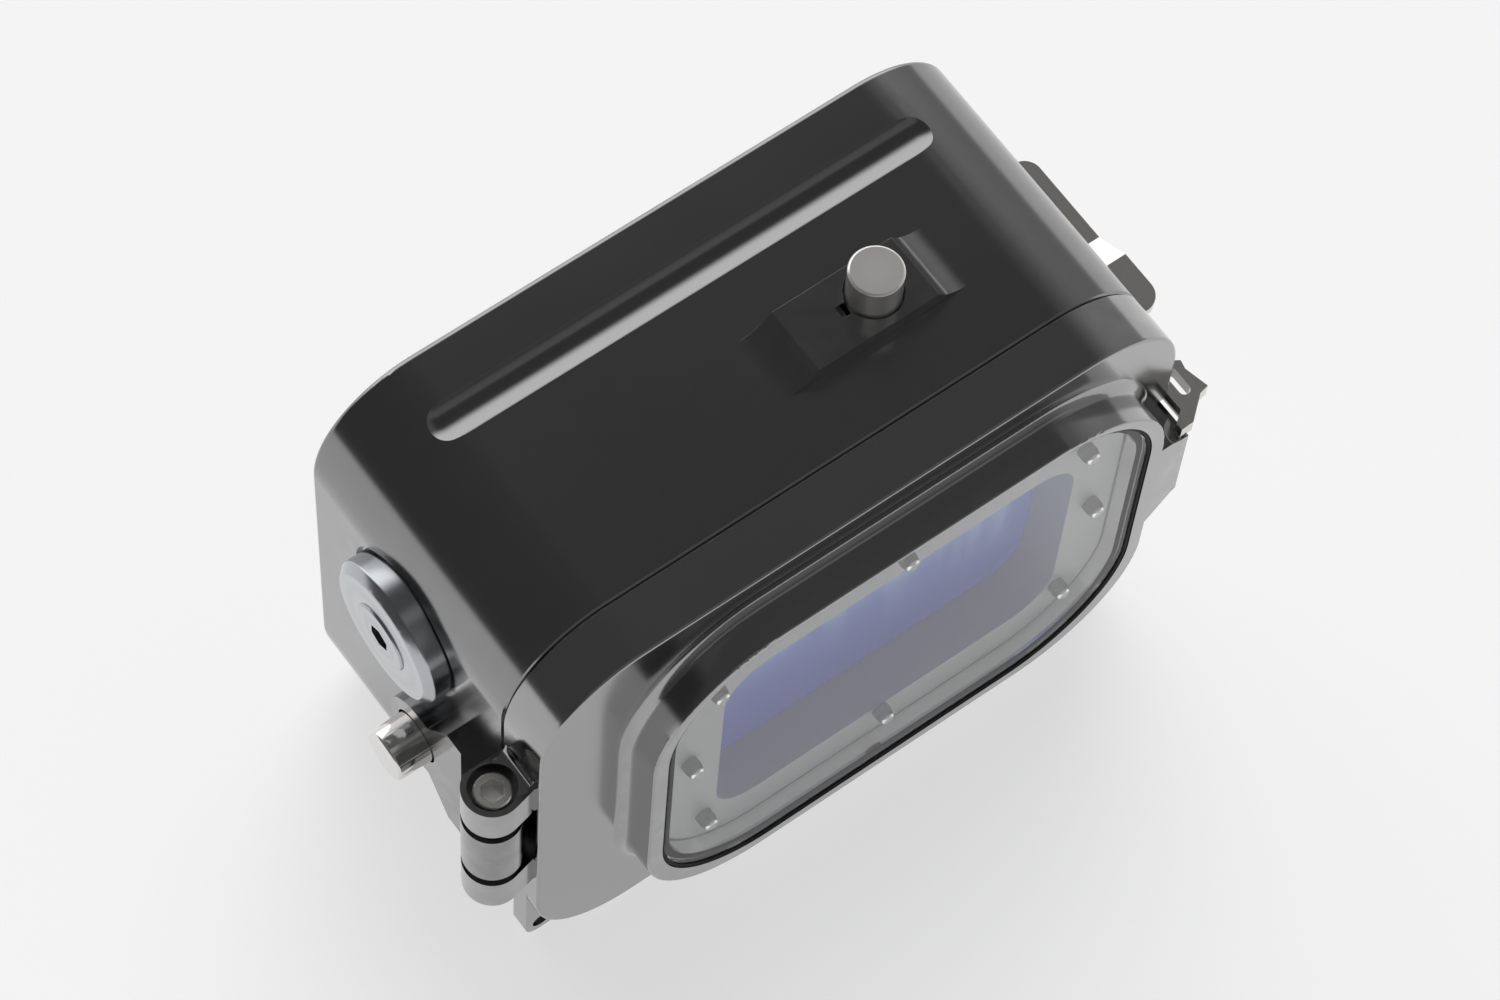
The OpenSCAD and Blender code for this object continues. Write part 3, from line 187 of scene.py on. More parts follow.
def smooth(piece: Piece, angle: float) -> None:
    """Shades a piece smooth, sharp past an angle, its flat faces kept flat.

    Args:
        piece: The object to shade.
        angle: The largest angle in degrees that is still smooth.
    """
    focus(piece)
    bpy.ops.object.shade_smooth_by_angle(angle=radians(angle))
    apply_modifier(piece, "WEIGHTED_NORMAL", mode="FACE_AREA", keep_sharp=True)


def closed_outwards(piece: Piece) -> None:
    """Merges a piece's doubles, closes its holes and turns its faces outwards.

    Args:
        piece: The object to close.
    """
    focus(piece)
    bpy.ops.object.mode_set(mode="EDIT")
    bpy.ops.mesh.select_all(action="SELECT")
    bpy.ops.mesh.remove_doubles(threshold=MERGE)
    bpy.ops.mesh.fill_holes(sides=0)
    bpy.ops.mesh.normals_make_consistent(inside=False)
    rest()


def skin_of(node: str, name: str) -> Piece:
    """Copies a CAD node's mesh and merges its loose triangles into clean faces.

    Args:
        node: The CAD node.
        name: The new piece's name.

    Returns:
        The new piece, still without a body.
    """
    piece = bpy.data.objects.new(name, frame["nodes"][node].data.copy())
    piece.data.name = name
    piece.data.materials.clear()
    bpy.context.scene.collection.objects.link(piece)
    focus(piece)
    if piece.data.has_custom_normals:
        bpy.ops.mesh.customdata_custom_splitnormals_clear()
    bpy.ops.object.mode_set(mode="EDIT")
    bpy.ops.mesh.select_all(action="SELECT")
    bpy.ops.mesh.remove_doubles(threshold=MERGE)
    bpy.ops.mesh.dissolve_limited(angle_limit=radians(FLAT_ANGLE))
    rest()
    return piece


def soften_edges(piece: Piece, width: float, segments: int = 2, slot: int = -1) -> None:
    """Rounds the sharp edges of a piece a little.

    Args:
        piece: The object to soften.
        width: The rounding's width in metres.
        segments: The rounding's number of faces.
        slot: The material slot of the rounding, or -1 for that of the faces beside it.
    """
    apply_modifier(
        piece,
        "BEVEL",
        width=width,
        segments=segments,
        limit_method="ANGLE",
        angle_limit=radians(EDGE_ANGLE),
        use_clamp_overlap=True,
        material=slot,
        miter_outer="MITER_ARC",
    )


# Shader groups


@dataclass(frozen=True)
class ShaderGroup:
    """A node group that several finishes share."""

    name: str
    inputs: tuple[tuple[str, str], ...]
    outputs: tuple[tuple[str, str], ...]

    def start(self) -> tuple[Tree, Node, Node]:
        """Makes the empty group with its sockets.

        Returns:
            The tree, its input node and its output node.
        """
        tree = bpy.data.node_groups.new(self.name, "ShaderNodeTree")
        for name, kind in self.inputs:
            tree.interface.new_socket(name=name, in_out="INPUT", socket_type=kind)
        for name, kind in self.outputs:
            tree.interface.new_socket(name=name, in_out="OUTPUT", socket_type=kind)
        return tree, tree.nodes.new("NodeGroupInput"), tree.nodes.new("NodeGroupOutput")


def math_node(tree: Tree, kind: str, *values: Socket | float) -> Socket:
    """Adds a Math node, its inputs numbers or sockets.

    Args:
        tree: The tree to add to.
        kind: The Math node's operation.
        *values: A number or a socket for each input.

    Returns:
        The node's output.
    """
    node = tree.nodes.new("ShaderNodeMath")
    node.operation = kind
    for socket, value in zip(node.inputs, values):
        if isinstance(value, Socket):
            tree.links.new(value, socket)
        else:
            socket.default_value = value
    return node.outputs[0]


def ramp(tree: Tree, value: Socket, low: float, high: float) -> Socket:
    """Turns a value into a smooth step from 0 to 1.

    Args:
        tree: The tree to add to.
        value: The socket that is stepped.
        low: Where the step starts.
        high: Where it ends.

    Returns:
        The stepped value.
    """
    node = tree.nodes.new("ShaderNodeMapRange")
    node.interpolation_type = "SMOOTHSTEP"
    node.inputs["From Min"].default_value = low
    node.inputs["From Max"].default_value = high
    tree.links.new(value, node.inputs["Value"])
    return node.outputs["Result"]


def mix_colour(
    tree: Tree,
    share: Socket | float,
    first: Socket | Colour,
    second: Socket | Colour,
) -> Socket:
    """Mixes two colours.

    Args:
        tree: The tree to add to.
        share: How much of the second colour shows, a number or a socket.
        first: A colour or a socket.
        second: A colour or a socket.

    Returns:
        The mixed colour.
    """
    node = tree.nodes.new("ShaderNodeMix")
    node.data_type = "RGBA"
    share_at, first_at, second_at, result_at = 0, 6, 7, 2
    for index, value in ((share_at, share), (first_at, first), (second_at, second)):
        if isinstance(value, Socket):
            tree.links.new(value, node.inputs[index])
        elif index == share_at:
            node.inputs[index].default_value = value
        else:
            node.inputs[index].default_value = (*value, 1.0)
    return node.outputs[result_at]


def noise(
    tree: Tree,
    scale: Socket | float,
    detail: float,
    stretch: Triple = (1, 1, 1),
) -> Socket:
    """Adds noise on Object coordinates, counted in millimetres.

    Args:
        tree: The tree to add to.
        scale: Noise cells for each millimetre, a number or a socket.
        detail: How many finer layers are added.
        stretch: How much denser the noise is along each axis.

    Returns:
        The noise value.
    """
    place = tree.nodes.new("ShaderNodeTexCoord")
    mapping = tree.nodes.new("ShaderNodeMapping")
    mapping.inputs["Scale"].default_value = [density / MM for density in stretch]
    node = tree.nodes.new("ShaderNodeTexNoise")
    node.inputs["Detail"].default_value = detail
    tree.links.new(place.outputs["Object"], mapping.inputs["Vector"])
    tree.links.new(mapping.outputs["Vector"], node.inputs["Vector"])
    if isinstance(scale, Socket):
        tree.links.new(scale, node.inputs["Scale"])
    else:
        node.inputs["Scale"].default_value = scale
    return node.outputs[0]


def make_blasted_grain() -> Tree:
    """Builds the group for a fine grain with soft cloudiness and lighter edges.

    Returns:
        The group.
    """
    number, colour = "NodeSocketFloat", "NodeSocketColor"
    rough_swing, worn_polish = 0.5, -0.1
    tree, source, result = ShaderGroup(
        "blasted_grain",
        (
            ("Colour", colour),
            ("Roughness", number),
            ("Grain", number),
            ("Cloud", number),
            ("Edge", number),
            ("Wear", number),
        ),
        (("Colour", colour), ("Roughness", number), ("Height", number)),
    ).start()
    fine = noise(tree, source.outputs["Grain"], detail=2.0)
    cloud = noise(tree, scale=0.035, detail=3.0)
    edge = ramp(tree, source.outputs["Edge"], low=0.505, high=0.56)
    worn = math_node(tree, "MULTIPLY", edge, source.outputs["Wear"])
    patches = ramp(tree, noise(tree, scale=0.22, detail=4.0), low=0.35, high=0.7)
    patchy = math_node(tree, "MULTIPLY", worn, patches)
    shade = math_node(tree, "SUBTRACT", cloud, 0.5)
    tone = math_node(tree, "MULTIPLY_ADD", shade, source.outputs["Cloud"], 1.0)
    tinted = tree.nodes.new("ShaderNodeVectorMath")
    tinted.operation = "SCALE"
    tree.links.new(source.outputs["Colour"], tinted.inputs[0])
    tree.links.new(tone, tinted.inputs["Scale"])
    coloured = mix_colour(tree, patchy, tinted.outputs[0], BARE_METAL)
    tree.links.new(coloured, result.inputs["Colour"])
    swing = math_node(tree, "MULTIPLY", source.outputs["Cloud"], rough_swing)
    rough = math_node(tree, "MULTIPLY_ADD", shade, swing, source.outputs["Roughness"])
    rough = math_node(tree, "MULTIPLY_ADD", patchy, worn_polish, rough)
    tree.links.new(rough, result.inputs["Roughness"])
    tree.links.new(fine, result.inputs["Height"])
    return tree


def make_turning_marks() -> Tree:
    """Builds the group for the fine rings that a lathe leaves round an axis.

    Returns:
        The group.
    """
    number, vector = "NodeSocketFloat", "NodeSocketVector"
    broad_share, broad_height, broad_rough = 0.37, 0.4, 0.04
    tree, source, result = ShaderGroup(
        "turning_marks",
        (("Place", vector), ("Pitch", number), ("Roughness", number)),
        (("Roughness", number), ("Height", number)),
    ).start()
    split = tree.nodes.new("ShaderNodeSeparateXYZ")
    tree.links.new(source.outputs["Place"], split.inputs[0])
    squares = [math_node(tree, "MULTIPLY", part, part) for part in split.outputs[:2]]
    reach = math_node(tree, "SQRT", math_node(tree, "ADD", *squares))
    cycles = math_node(tree, "DIVIDE", reach, source.outputs["Pitch"])
    wave = math_node(tree, "SINE", math_node(tree, "MULTIPLY", cycles, tau))
    broad = math_node(tree, "SINE", math_node(tree, "MULTIPLY", cycles, broad_share))
    height = math_node(tree, "MULTIPLY_ADD", broad, broad_height, wave)
    tree.links.new(height, result.inputs["Height"])
    rough = math_node(tree, "MULTIPLY_ADD", broad, broad_rough, source.outputs["Roughness"])
    tree.links.new(rough, result.inputs["Roughness"])
    return tree


# Finishes


@dataclass(frozen=True)
class Finish:
    """A blasted, polished, moulded or clear finish, its grain in cells for each millimetre."""

    name: str
    slot: str
    colour: Colour
    roughness: float
    surface: Surface = Surface.METAL
    metallic: float = 1.0
    grain: float = 6.0
    grain_depth: float = 0.0
    cloud: float = 0.05
    wear: float = 0.0
    ior: float = 1.5

    def shader(self) -> tuple[bpy.types.Material, Tree, Node]:
        """Makes the material with its constants on the shader's own sockets.

        Returns:
            The material, its tree and its Principled shader.
        """
        material = bpy.data.materials.new(self.name)
        material.use_nodes = True
        tree = material.node_tree
        shader = next(node for node in tree.nodes if node.type == "BSDF_PRINCIPLED")
        metallic = self.metallic if self.surface is Surface.METAL else 0.0
        shader.inputs["Base Color"].default_value = (*self.colour, 1.0)
        shader.inputs["Roughness"].default_value = self.roughness
        shader.inputs["Metallic"].default_value = metallic
        shader.inputs["IOR"].default_value = self.ior
        if self.surface is Surface.CLEAR:
            shader.inputs["Transmission Weight"].default_value = 1.0
        return material, tree, shader

    def bump(self, tree: Tree, shader: Node, height: Socket, depth: float) -> None:
        """Feeds a height into the shader's normal.

        Args:
            tree: The material's tree.
            shader: Its shader.
            height: The height socket.
            depth: The relief in millimetres.
        """
        node = tree.nodes.new("ShaderNodeBump")
        node.inputs["Distance"].default_value = depth * MM
        node.inputs["Strength"].default_value = 1.0
        tree.links.new(height, node.inputs["Height"])
        tree.links.new(node.outputs[0], shader.inputs["Normal"])

    def material(self) -> bpy.types.Material:
        """Finds or builds this finish's material.

        Returns:
            The material.
        """
        found = bpy.data.materials.get(self.name)
        if found:
            return found
        material, tree, shader = self.shader()
        group = tree.nodes.new("ShaderNodeGroup")
        group.node_tree = bpy.data.node_groups.get("blasted_grain") or make_blasted_grain()
        edge = tree.nodes.new("ShaderNodeNewGeometry")
        tree.links.new(edge.outputs["Pointiness"], group.inputs["Edge"])
        group.inputs["Colour"].default_value = (*self.colour, 1.0)
        group.inputs["Roughness"].default_value = self.roughness
        group.inputs["Grain"].default_value = self.grain
        group.inputs["Cloud"].default_value = self.cloud
        group.inputs["Wear"].default_value = self.wear
        if self.surface is not Surface.CLEAR:
            tree.links.new(group.outputs["Colour"], shader.inputs["Base Color"])
        tree.links.new(group.outputs["Roughness"], shader.inputs["Roughness"])
        if self.grain_depth:
            self.bump(tree, shader, group.outputs["Height"], self.grain_depth)
        return material


@dataclass(frozen=True)
class TurnedFinish(Finish):
    """A lathe-turned finish with rings round its own axis."""

    centre: Triple = (0.0, 0.0, 0.0)
    axis: Axis = Axis.Z
    pitch: float = 0.32

    def material(self) -> bpy.types.Material:
        """Finds or builds the material with rings round the axis.

        Returns:
            The material.
        """
        found = bpy.data.materials.get(self.name)
        if found:
            return found
        material, tree, shader = self.shader()
        place = tree.nodes.new("ShaderNodeTexCoord")
        moved = tree.nodes.new("ShaderNodeMapping")
        turned = tree.nodes.new("ShaderNodeMapping")
        moved.inputs["Location"].default_value = [-part for part in self.centre]
        turned.inputs["Rotation"].default_value = self.axis.value
        group = tree.nodes.new("ShaderNodeGroup")
        group.node_tree = bpy.data.node_groups.get("turning_marks") or make_turning_marks()
        tree.links.new(place.outputs["Object"], moved.inputs["Vector"])
        tree.links.new(moved.outputs["Vector"], turned.inputs["Vector"])
        tree.links.new(turned.outputs["Vector"], group.inputs["Place"])
        group.inputs["Pitch"].default_value = self.pitch * MM
        group.inputs["Roughness"].default_value = self.roughness
        tree.links.new(group.outputs["Roughness"], shader.inputs["Roughness"])
        self.bump(tree, shader, group.outputs["Height"], self.grain_depth)
        return material


@dataclass(frozen=True)
class ScreenFinish(Finish):
    """A lit screen with a plain blue gradient and soft upright shafts of light."""

    low: Triple = (0.0, 0.0, 0.0)
    high: Triple = (1.0, 1.0, 1.0)
    glow: float = 0.6
    shaft_share: float = 0.5

    def material(self) -> bpy.types.Material:
        """Finds or builds the screen's material.

        Returns:
            The material.
        """
        found = bpy.data.materials.get(self.name)
        if found:
            return found
        material, tree, shader = self.shader()
        place = tree.nodes.new("ShaderNodeTexCoord")
        split = tree.nodes.new("ShaderNodeSeparateXYZ")
        tree.links.new(place.outputs["Object"], split.inputs[0])
        across = self.share(tree, split.outputs[0], 0)
        up = self.share(tree, split.outputs[2], 2)
        rise = ramp(tree, up, low=0.0, high=1.0)
        blue = mix_colour(tree, rise, SCREEN_DEEP, SCREEN_PALE)
        streaks = noise(tree, scale=1.0, detail=2.0, stretch=(0.14, 1.0, 0.01))
        shafts = ramp(tree, streaks, low=0.46, high=0.68)
        side = ramp(tree, across, low=0.1, high=0.9)
        top = ramp(tree, up, low=0.1, high=1.0)
        lit = math_node(tree, "MULTIPLY", shafts, math_node(tree, "MULTIPLY", side, top))
        share = math_node(tree, "MULTIPLY", lit, self.shaft_share)
        picture = mix_colour(tree, share, blue, SCREEN_SHAFT)
        for name in ("Base Color", "Emission Color"):
            tree.links.new(picture, shader.inputs[name])
        shader.inputs["Emission Strength"].default_value = self.glow
        return material

    def share(self, tree: Tree, value: Socket, index: int) -> Socket:
        """Turns a coordinate into its share of the picture's width or height.

        Args:
            tree: The material's tree.
            value: The coordinate.
            index: 0 for the width, 2 for the height.

        Returns:
            The share, 0 to 1.
        """
        node = tree.nodes.new("ShaderNodeMapRange")
        node.inputs["From Min"].default_value = self.low[index]
        node.inputs["From Max"].default_value = self.high[index]
        tree.links.new(value, node.inputs["Value"])
        return node.outputs["Result"]


def middle(node: str) -> Triple:
    """Finds the centre of a CAD node's box.

    Args:
        node: The CAD node.

    Returns:
        The centre in metres.
    """
    low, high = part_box(node)
    return tuple((low + high) / 2)


def turned(
    name: str,
    node: str,
    axis: Axis,
    colour: Colour,
    slot: str,
    roughness: float,
    **more: object,
) -> TurnedFinish:
    """Makes a turned finish round the middle of a CAD node.

    Args:
        name: The finish's name.
        node: The CAD node that gives the centre.
        axis: The axis that the rings run round.
        colour: The metal's colour.
        slot: The record's material slot.
        roughness: The metal's roughness.
        **more: Other values of the finish.

    Returns:
        The finish.
    """
    return TurnedFinish(
        name,
        slot,
        colour,
        roughness,
        grain_depth=RING_DEPTH,
        centre=middle(node),
        axis=axis,
        **more,
    )


BODY = Finish(
    "blasted_body", "body_metal", (0.262, 0.262, 0.265), 0.17,
    grain=5.0, grain_depth=0.0015, cloud=0.04, wear=0.12,
)
# The door is the same anodised metal as the body, given a lighter base so that its rear face
# comes out brighter: painted light.
DOOR = Finish(
    "blasted_door_painted_lighter", "door_metal", (0.36, 0.36, 0.363), 0.15,
    grain=5.0, grain_depth=0.0015, cloud=0.04, wear=0.12,
)
# A near-white, half-metallic finish for the door's rounded edges, which the key lamp turns into a
# bright line: a painted highlight.
DOOR_EDGE_HIGHLIGHT = Finish(
    "painted_highlight_door_edge", "door_metal", (0.85, 0.85, 0.85), 0.22, metallic=0.4, cloud=0.04
)
RECESS = Finish("polished_recess", "door_metal", (0.86, 0.86, 0.86), 0.06)
LATCH = Finish(
    "polished_latch", "latch_metal", (0.72, 0.7, 0.67), 0.09,
    metallic=0.84, grain=2.0, grain_depth=0.0005,
)
SMALL_STEEL = Finish("small_steel", "screw_metal", (0.78, 0.77, 0.76), 0.14, metallic=0.86)
# Three tones of one steel for the screw heads in the screen frame: dark sides for painted shade,
# a near-white polished rounding at the tip for a painted glint, a lighter, rougher end face for
# painted light. The near-white finish also goes on the hinge screw's edges as a painted glint.
SCREW_SHADE_STEEL = Finish("painted_shade_screw_steel", "screw_metal", (0.2, 0.2, 0.19), 0.14)
SCREW_GLINT = Finish("painted_glint_screw_edge", "screw_metal", (0.95, 0.95, 0.94), 0.08)
SCREW_END_LIT = Finish("painted_light_screw_end", "screw_metal", (0.3, 0.3, 0.29), 0.2)
# A duller, less metallic copy of the hinge screw's steel for its socket, so that the hollow looks
# darker: painted shade.
SOCKET_SHADE_STEEL = Finish("painted_shade_socket", "screw_metal", (0.82, 0.8, 0.77), 0.34, metallic=0.55)
BRASS = Finish("turned_brass", "bush_metal", (0.72, 0.52, 0.24), 0.24)
RUBBER = Finish(
    "seal_rubber", "seal_rubber", (0.012, 0.012, 0.012), 0.42, Surface.OPAQUE,
    grain=4.0, grain_depth=0.006,
)
NYLON = Finish(
    "black_nylon", "washer_plastic", (0.02, 0.02, 0.02), 0.38, Surface.OPAQUE,
    grain=3.0, grain_depth=0.004,
)
FRAME_GREY = Finish(
    "grey_moulding", "frame_plastic", (0.52, 0.52, 0.52), 0.36, Surface.OPAQUE,
    grain=5.0, grain_depth=0.003,
)
INNER_BLACK = Finish(
    "black_moulding", "inner_plastic", (0.03, 0.03, 0.032), 0.45, Surface.OPAQUE,
    grain=4.0, grain_depth=0.006,
)
ACRYLIC = Finish(
    "clear_acrylic", "clear_window", (0.985, 0.99, 0.99), 0.0, Surface.CLEAR,
    cloud=0.0, ior=1.22,
)
PORT_GLASS = Finish(
    "coated_glass", "port_glass", (0.95, 0.98, 0.985), 0.0, Surface.CLEAR,
    cloud=0.0, ior=1.52,
)


# Pieces taken over from the frame


@dataclass(frozen=True)
class Part:
    """One piece that takes over a CAD node with clean faces, soft edges and a finish.

    The edge is the rounding's width in millimetres, and the trim, if any, is a lighter finish of
    the rounding that paints a highlight along the edges.
    """

    node: str
    name: str
    finish: Finish
    edge: float = 0.0
    segments: int = 2
    angle: float = SMOOTH_ANGLE
    highlight_trim: Finish | None = None

    def make(self) -> Piece:
        """Builds the piece, dresses it and puts it on the node's body.

        Returns:
            The finished piece.
        """
        piece = skin_of(self.node, self.name)
        piece.data.materials.append(self.finish.material())
        # The trim's lighter finish on the rounding is a painted highlight.
        if self.highlight_trim:
            piece.data.materials.append(self.highlight_trim.material())
        if self.edge:
            soften_edges(piece, self.edge * MM, self.segments, 1 if self.highlight_trim else -1)
        body = frame["nodes"][self.node]["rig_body"]
        return place_piece(piece, self.finish, body, self.angle, self.node)


def place_piece(
    piece: Piece,
    finish: Finish,
    body: str,
    angle: float,
    *nodes: str,
) -> Piece:
    """Shades and dresses a piece, puts it on its body and reports it.

    Args:
        piece: The piece.
        finish: Its finish.
        body: The CAD body it rides on.
        angle: The largest smooth angle in degrees.
        *nodes: The CAD nodes that it stands for.

    Returns:
        The piece.
    """
    smooth(piece, angle)
    if not piece.data.materials:
        piece.data.materials.append(finish.material())
    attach(piece, body)
    if nodes:
        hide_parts(*nodes)
    rest()
    log.info("%s: %d faces, on %s", piece.name, len(piece.data.polygons), body)
    return piece


def redress(
    piece: Piece,
    finish: Finish,
    chosen: Callable[[Face], bool],
) -> None:
    """Gives some faces of a piece another finish.

    Args:
        piece: The piece.
        finish: The finish of the chosen faces.
        chosen: Tells whether a face is chosen.
    """
    piece.data.materials.append(finish.material())
    slot = len(piece.data.materials) - 1
    for face in piece.data.polygons:
        if chosen(face):
            face.material_index = slot


# Sub-assemblies


@dataclass
class Assembly:
    """A group of pieces that are made in one go."""

    parts: tuple[Part, ...] = ()

    def make_parts(self) -> list[Piece]:
        """Makes the pieces in their order.

        Returns:
            The finished pieces.
        """
        return [part.make() for part in self.parts]

    def build(self) -> None:
        """Builds every piece of the group."""
        self.make_parts()


@dataclass
class Shell(Assembly):
    """The machined body with its main seal and the threaded insert for a tripod."""

    parts: tuple[Part, ...] = (
        Part("housing_body", "machined_body", BODY, 0.22),
        Part("main_seal", "main_seal_ring", RUBBER),
    )
    bore: float = 3.175
    thread_pitch: float = 1.27
    thread_depth: float = 0.5
    thread_overlap: float = 0.2
    thread_start: float = 0.8
    thread_end: float = 0.4
    turn_steps: int = 40
    insert_edge: float = 0.2

    def build(self) -> None:
        """Builds every piece of the shell."""
        self.make_parts()
        self.insert()

    def insert(self) -> None:
        """Builds the tripod insert and cuts its thread as one helical ridge."""
        low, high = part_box("tripod_insert")
        bore, depth = self.bore * MM, high.z - low.z - self.thread_end * MM
        turns = int(depth / (self.thread_pitch * MM)) - 1
        bpy.ops.mesh.primitive_circle_add(
            vertices=3,
            radius=self.thread_depth * MM,
            rotation=(pi / 2, pi / 2, 0),
            location=(bore - self.thread_overlap * MM, 0, low.z + self.thread_start * MM),
        )
        ridge = bpy.context.active_object
        settle(ridge)
        apply_modifier(
            ridge,
            "SCREW",
            axis="Z",
            angle=tau * turns,
            screw_offset=self.thread_pitch * MM * turns,
            steps=self.turn_steps * turns,
            render_steps=self.turn_steps * turns,
        )
        closed_outwards(ridge)
        insert = skin_of("tripod_insert", "threaded_insert")
        soften_edges(insert, self.insert_edge * MM)
        focus(insert)
        ridge.select_set(True)
        bpy.ops.object.join()
        place_piece(insert, SMALL_STEEL, "housing", SMOOTH_ANGLE, "tripod_insert")


@dataclass
class Door(Assembly):
    """The hinged rear door with its window."""

    parts: tuple[Part, ...] = (
        # The door's rounded edges take the near-white finish as a painted highlight.
        Part("rear_door", "machined_door", DOOR, 0.2, highlight_trim=DOOR_EDGE_HIGHLIGHT),
        Part("window", "window_pane", ACRYLIC, 0.3),
        Part("window_seal", "window_seal_ring", RUBBER),
    )
    wall_tilt: float = 0.5

    def build(self) -> None:
        """Builds the door, its pane and the seal round it."""
        door, *_ = self.make_parts()
        low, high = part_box("window")
        redress(door, RECESS, lambda face: self.in_recess(face, low, high))

    def in_recess(self, face: Face, low: Vector, high: Vector) -> bool:
        """Tells whether a face of the door is a wall of the recess round the window.

        Args:
            face: The face.
            low: The window's least corner.
            high: The window's greatest corner.

        Returns:
            Whether it is such a wall.
        """
        inside = low.x < face.center.x < high.x and low.z < face.center.z < high.z
        inwards = (low + high - 2 * face.center).dot(face.normal) > 0
        upright = abs(face.normal.y) < self.wall_tilt
        return inside and inwards and upright and face.center.y > low.y


@dataclass
class ScreenModule(Assembly):
    """The grey frame with its lit screen, box, cover and screws."""

    parts: tuple[Part, ...] = (
        Part("screen_frame", "screen_frame_plate", FRAME_GREY, 0.15),
        # The frame screws' heads: dark steel for painted shade on their sides, a near-white tip
        # rounding for a painted glint.
        Part(
            "screen_frame_screws",
            "frame_screw_heads",
            SCREW_SHADE_STEEL,
            0.1,
            angle=20.0,
            highlight_trim=SCREW_GLINT,
        ),
        Part("screen_box", "screen_box_moulding", FRAME_GREY, 0.15),
        Part("screen_box_screws", "box_screw_heads", SMALL_STEEL, 0.15),
        Part("screen_cover", "screen_cover_plate", INNER_BLACK, 0.2),
        Part("screen_cover_screws", "cover_screw_heads", SMALL_STEEL, 0.12),
    )
    margin: float = 1.0
    slope_from: float = 0.3
    end_from: float = 0.97
    plain_blue: Colour = (0.06, 0.14, 0.4)

    def build(self) -> None:
        """Builds the frame with painted glints on its screws' tips and painted light on their end
        faces, then the screen.
        """
        _, screws, *_ = self.make_parts()
        # Tip faces take the near-white steel as a painted glint, end faces the lighter grey steel
        # as painted light.
        redress(screws, SCREW_GLINT, lambda face: self.slope_from < -face.normal.y < self.end_from)
        redress(screws, SCREW_END_LIT, lambda face: -face.normal.y > self.end_from)
        low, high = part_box("screen_panel")
        inset = Vector((self.margin, 0, self.margin)) * MM
        screen = ScreenFinish(
            "water_screen",
            "screen",
            self.plain_blue,
            0.12,
            Surface.OPAQUE,
            low=tuple(low + inset),
            high=tuple(high - inset),
        )
        Part("screen_panel", "lit_screen", screen, 0.1).make()


@dataclass
class Hinge:
    """The hinge screw with its bush and washers."""

    colour: Colour = (0.8, 0.78, 0.76)
    socket_reach: float = 2.1
    socket_depth: float = 2.4
    lip: float = 0.3

    def build(self) -> None:
        """Builds the hinge's loose pieces."""
        steel = turned(
            "turned_hinge_screw",
            "hinge_screw",
            Axis.Z,
            self.colour,
            "screw_metal",
            0.15,
            metallic=0.76,
        )
        # The screw's rounded edges take the near-white screw finish as a painted glint.
        screw = Part("hinge_screw", "hinge_socket_screw", steel, 0.16, 3, highlight_trim=SCREW_GLINT).make()
        low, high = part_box("hinge_screw")
        # The socket's walls and floor take the duller steel as painted shade.
        redress(screw, SOCKET_SHADE_STEEL, lambda face: self.in_socket(face, low, high))
        Part("hinge_bush", "hinge_bush_sleeve", BRASS, 0.15).make()
        Part("hinge_washers", "hinge_washer_pair", NYLON, 0.25).make()

    def in_socket(self, face: Face, low: Vector, high: Vector) -> bool:
        """Tells whether a face of the hinge screw lies inside its hexagon socket.

        Args:
            face: The face.
            low: The screw's least corner.
            high: The screw's greatest corner.

        Returns:
            Whether it is a wall or the floor of the socket.
        """
        reach = (face.center.xy - ((low + high) / 2).xy).length
        depth = high.z - face.center.z
        return reach < self.socket_reach * MM and self.lip * MM < depth < self.socket_depth * MM


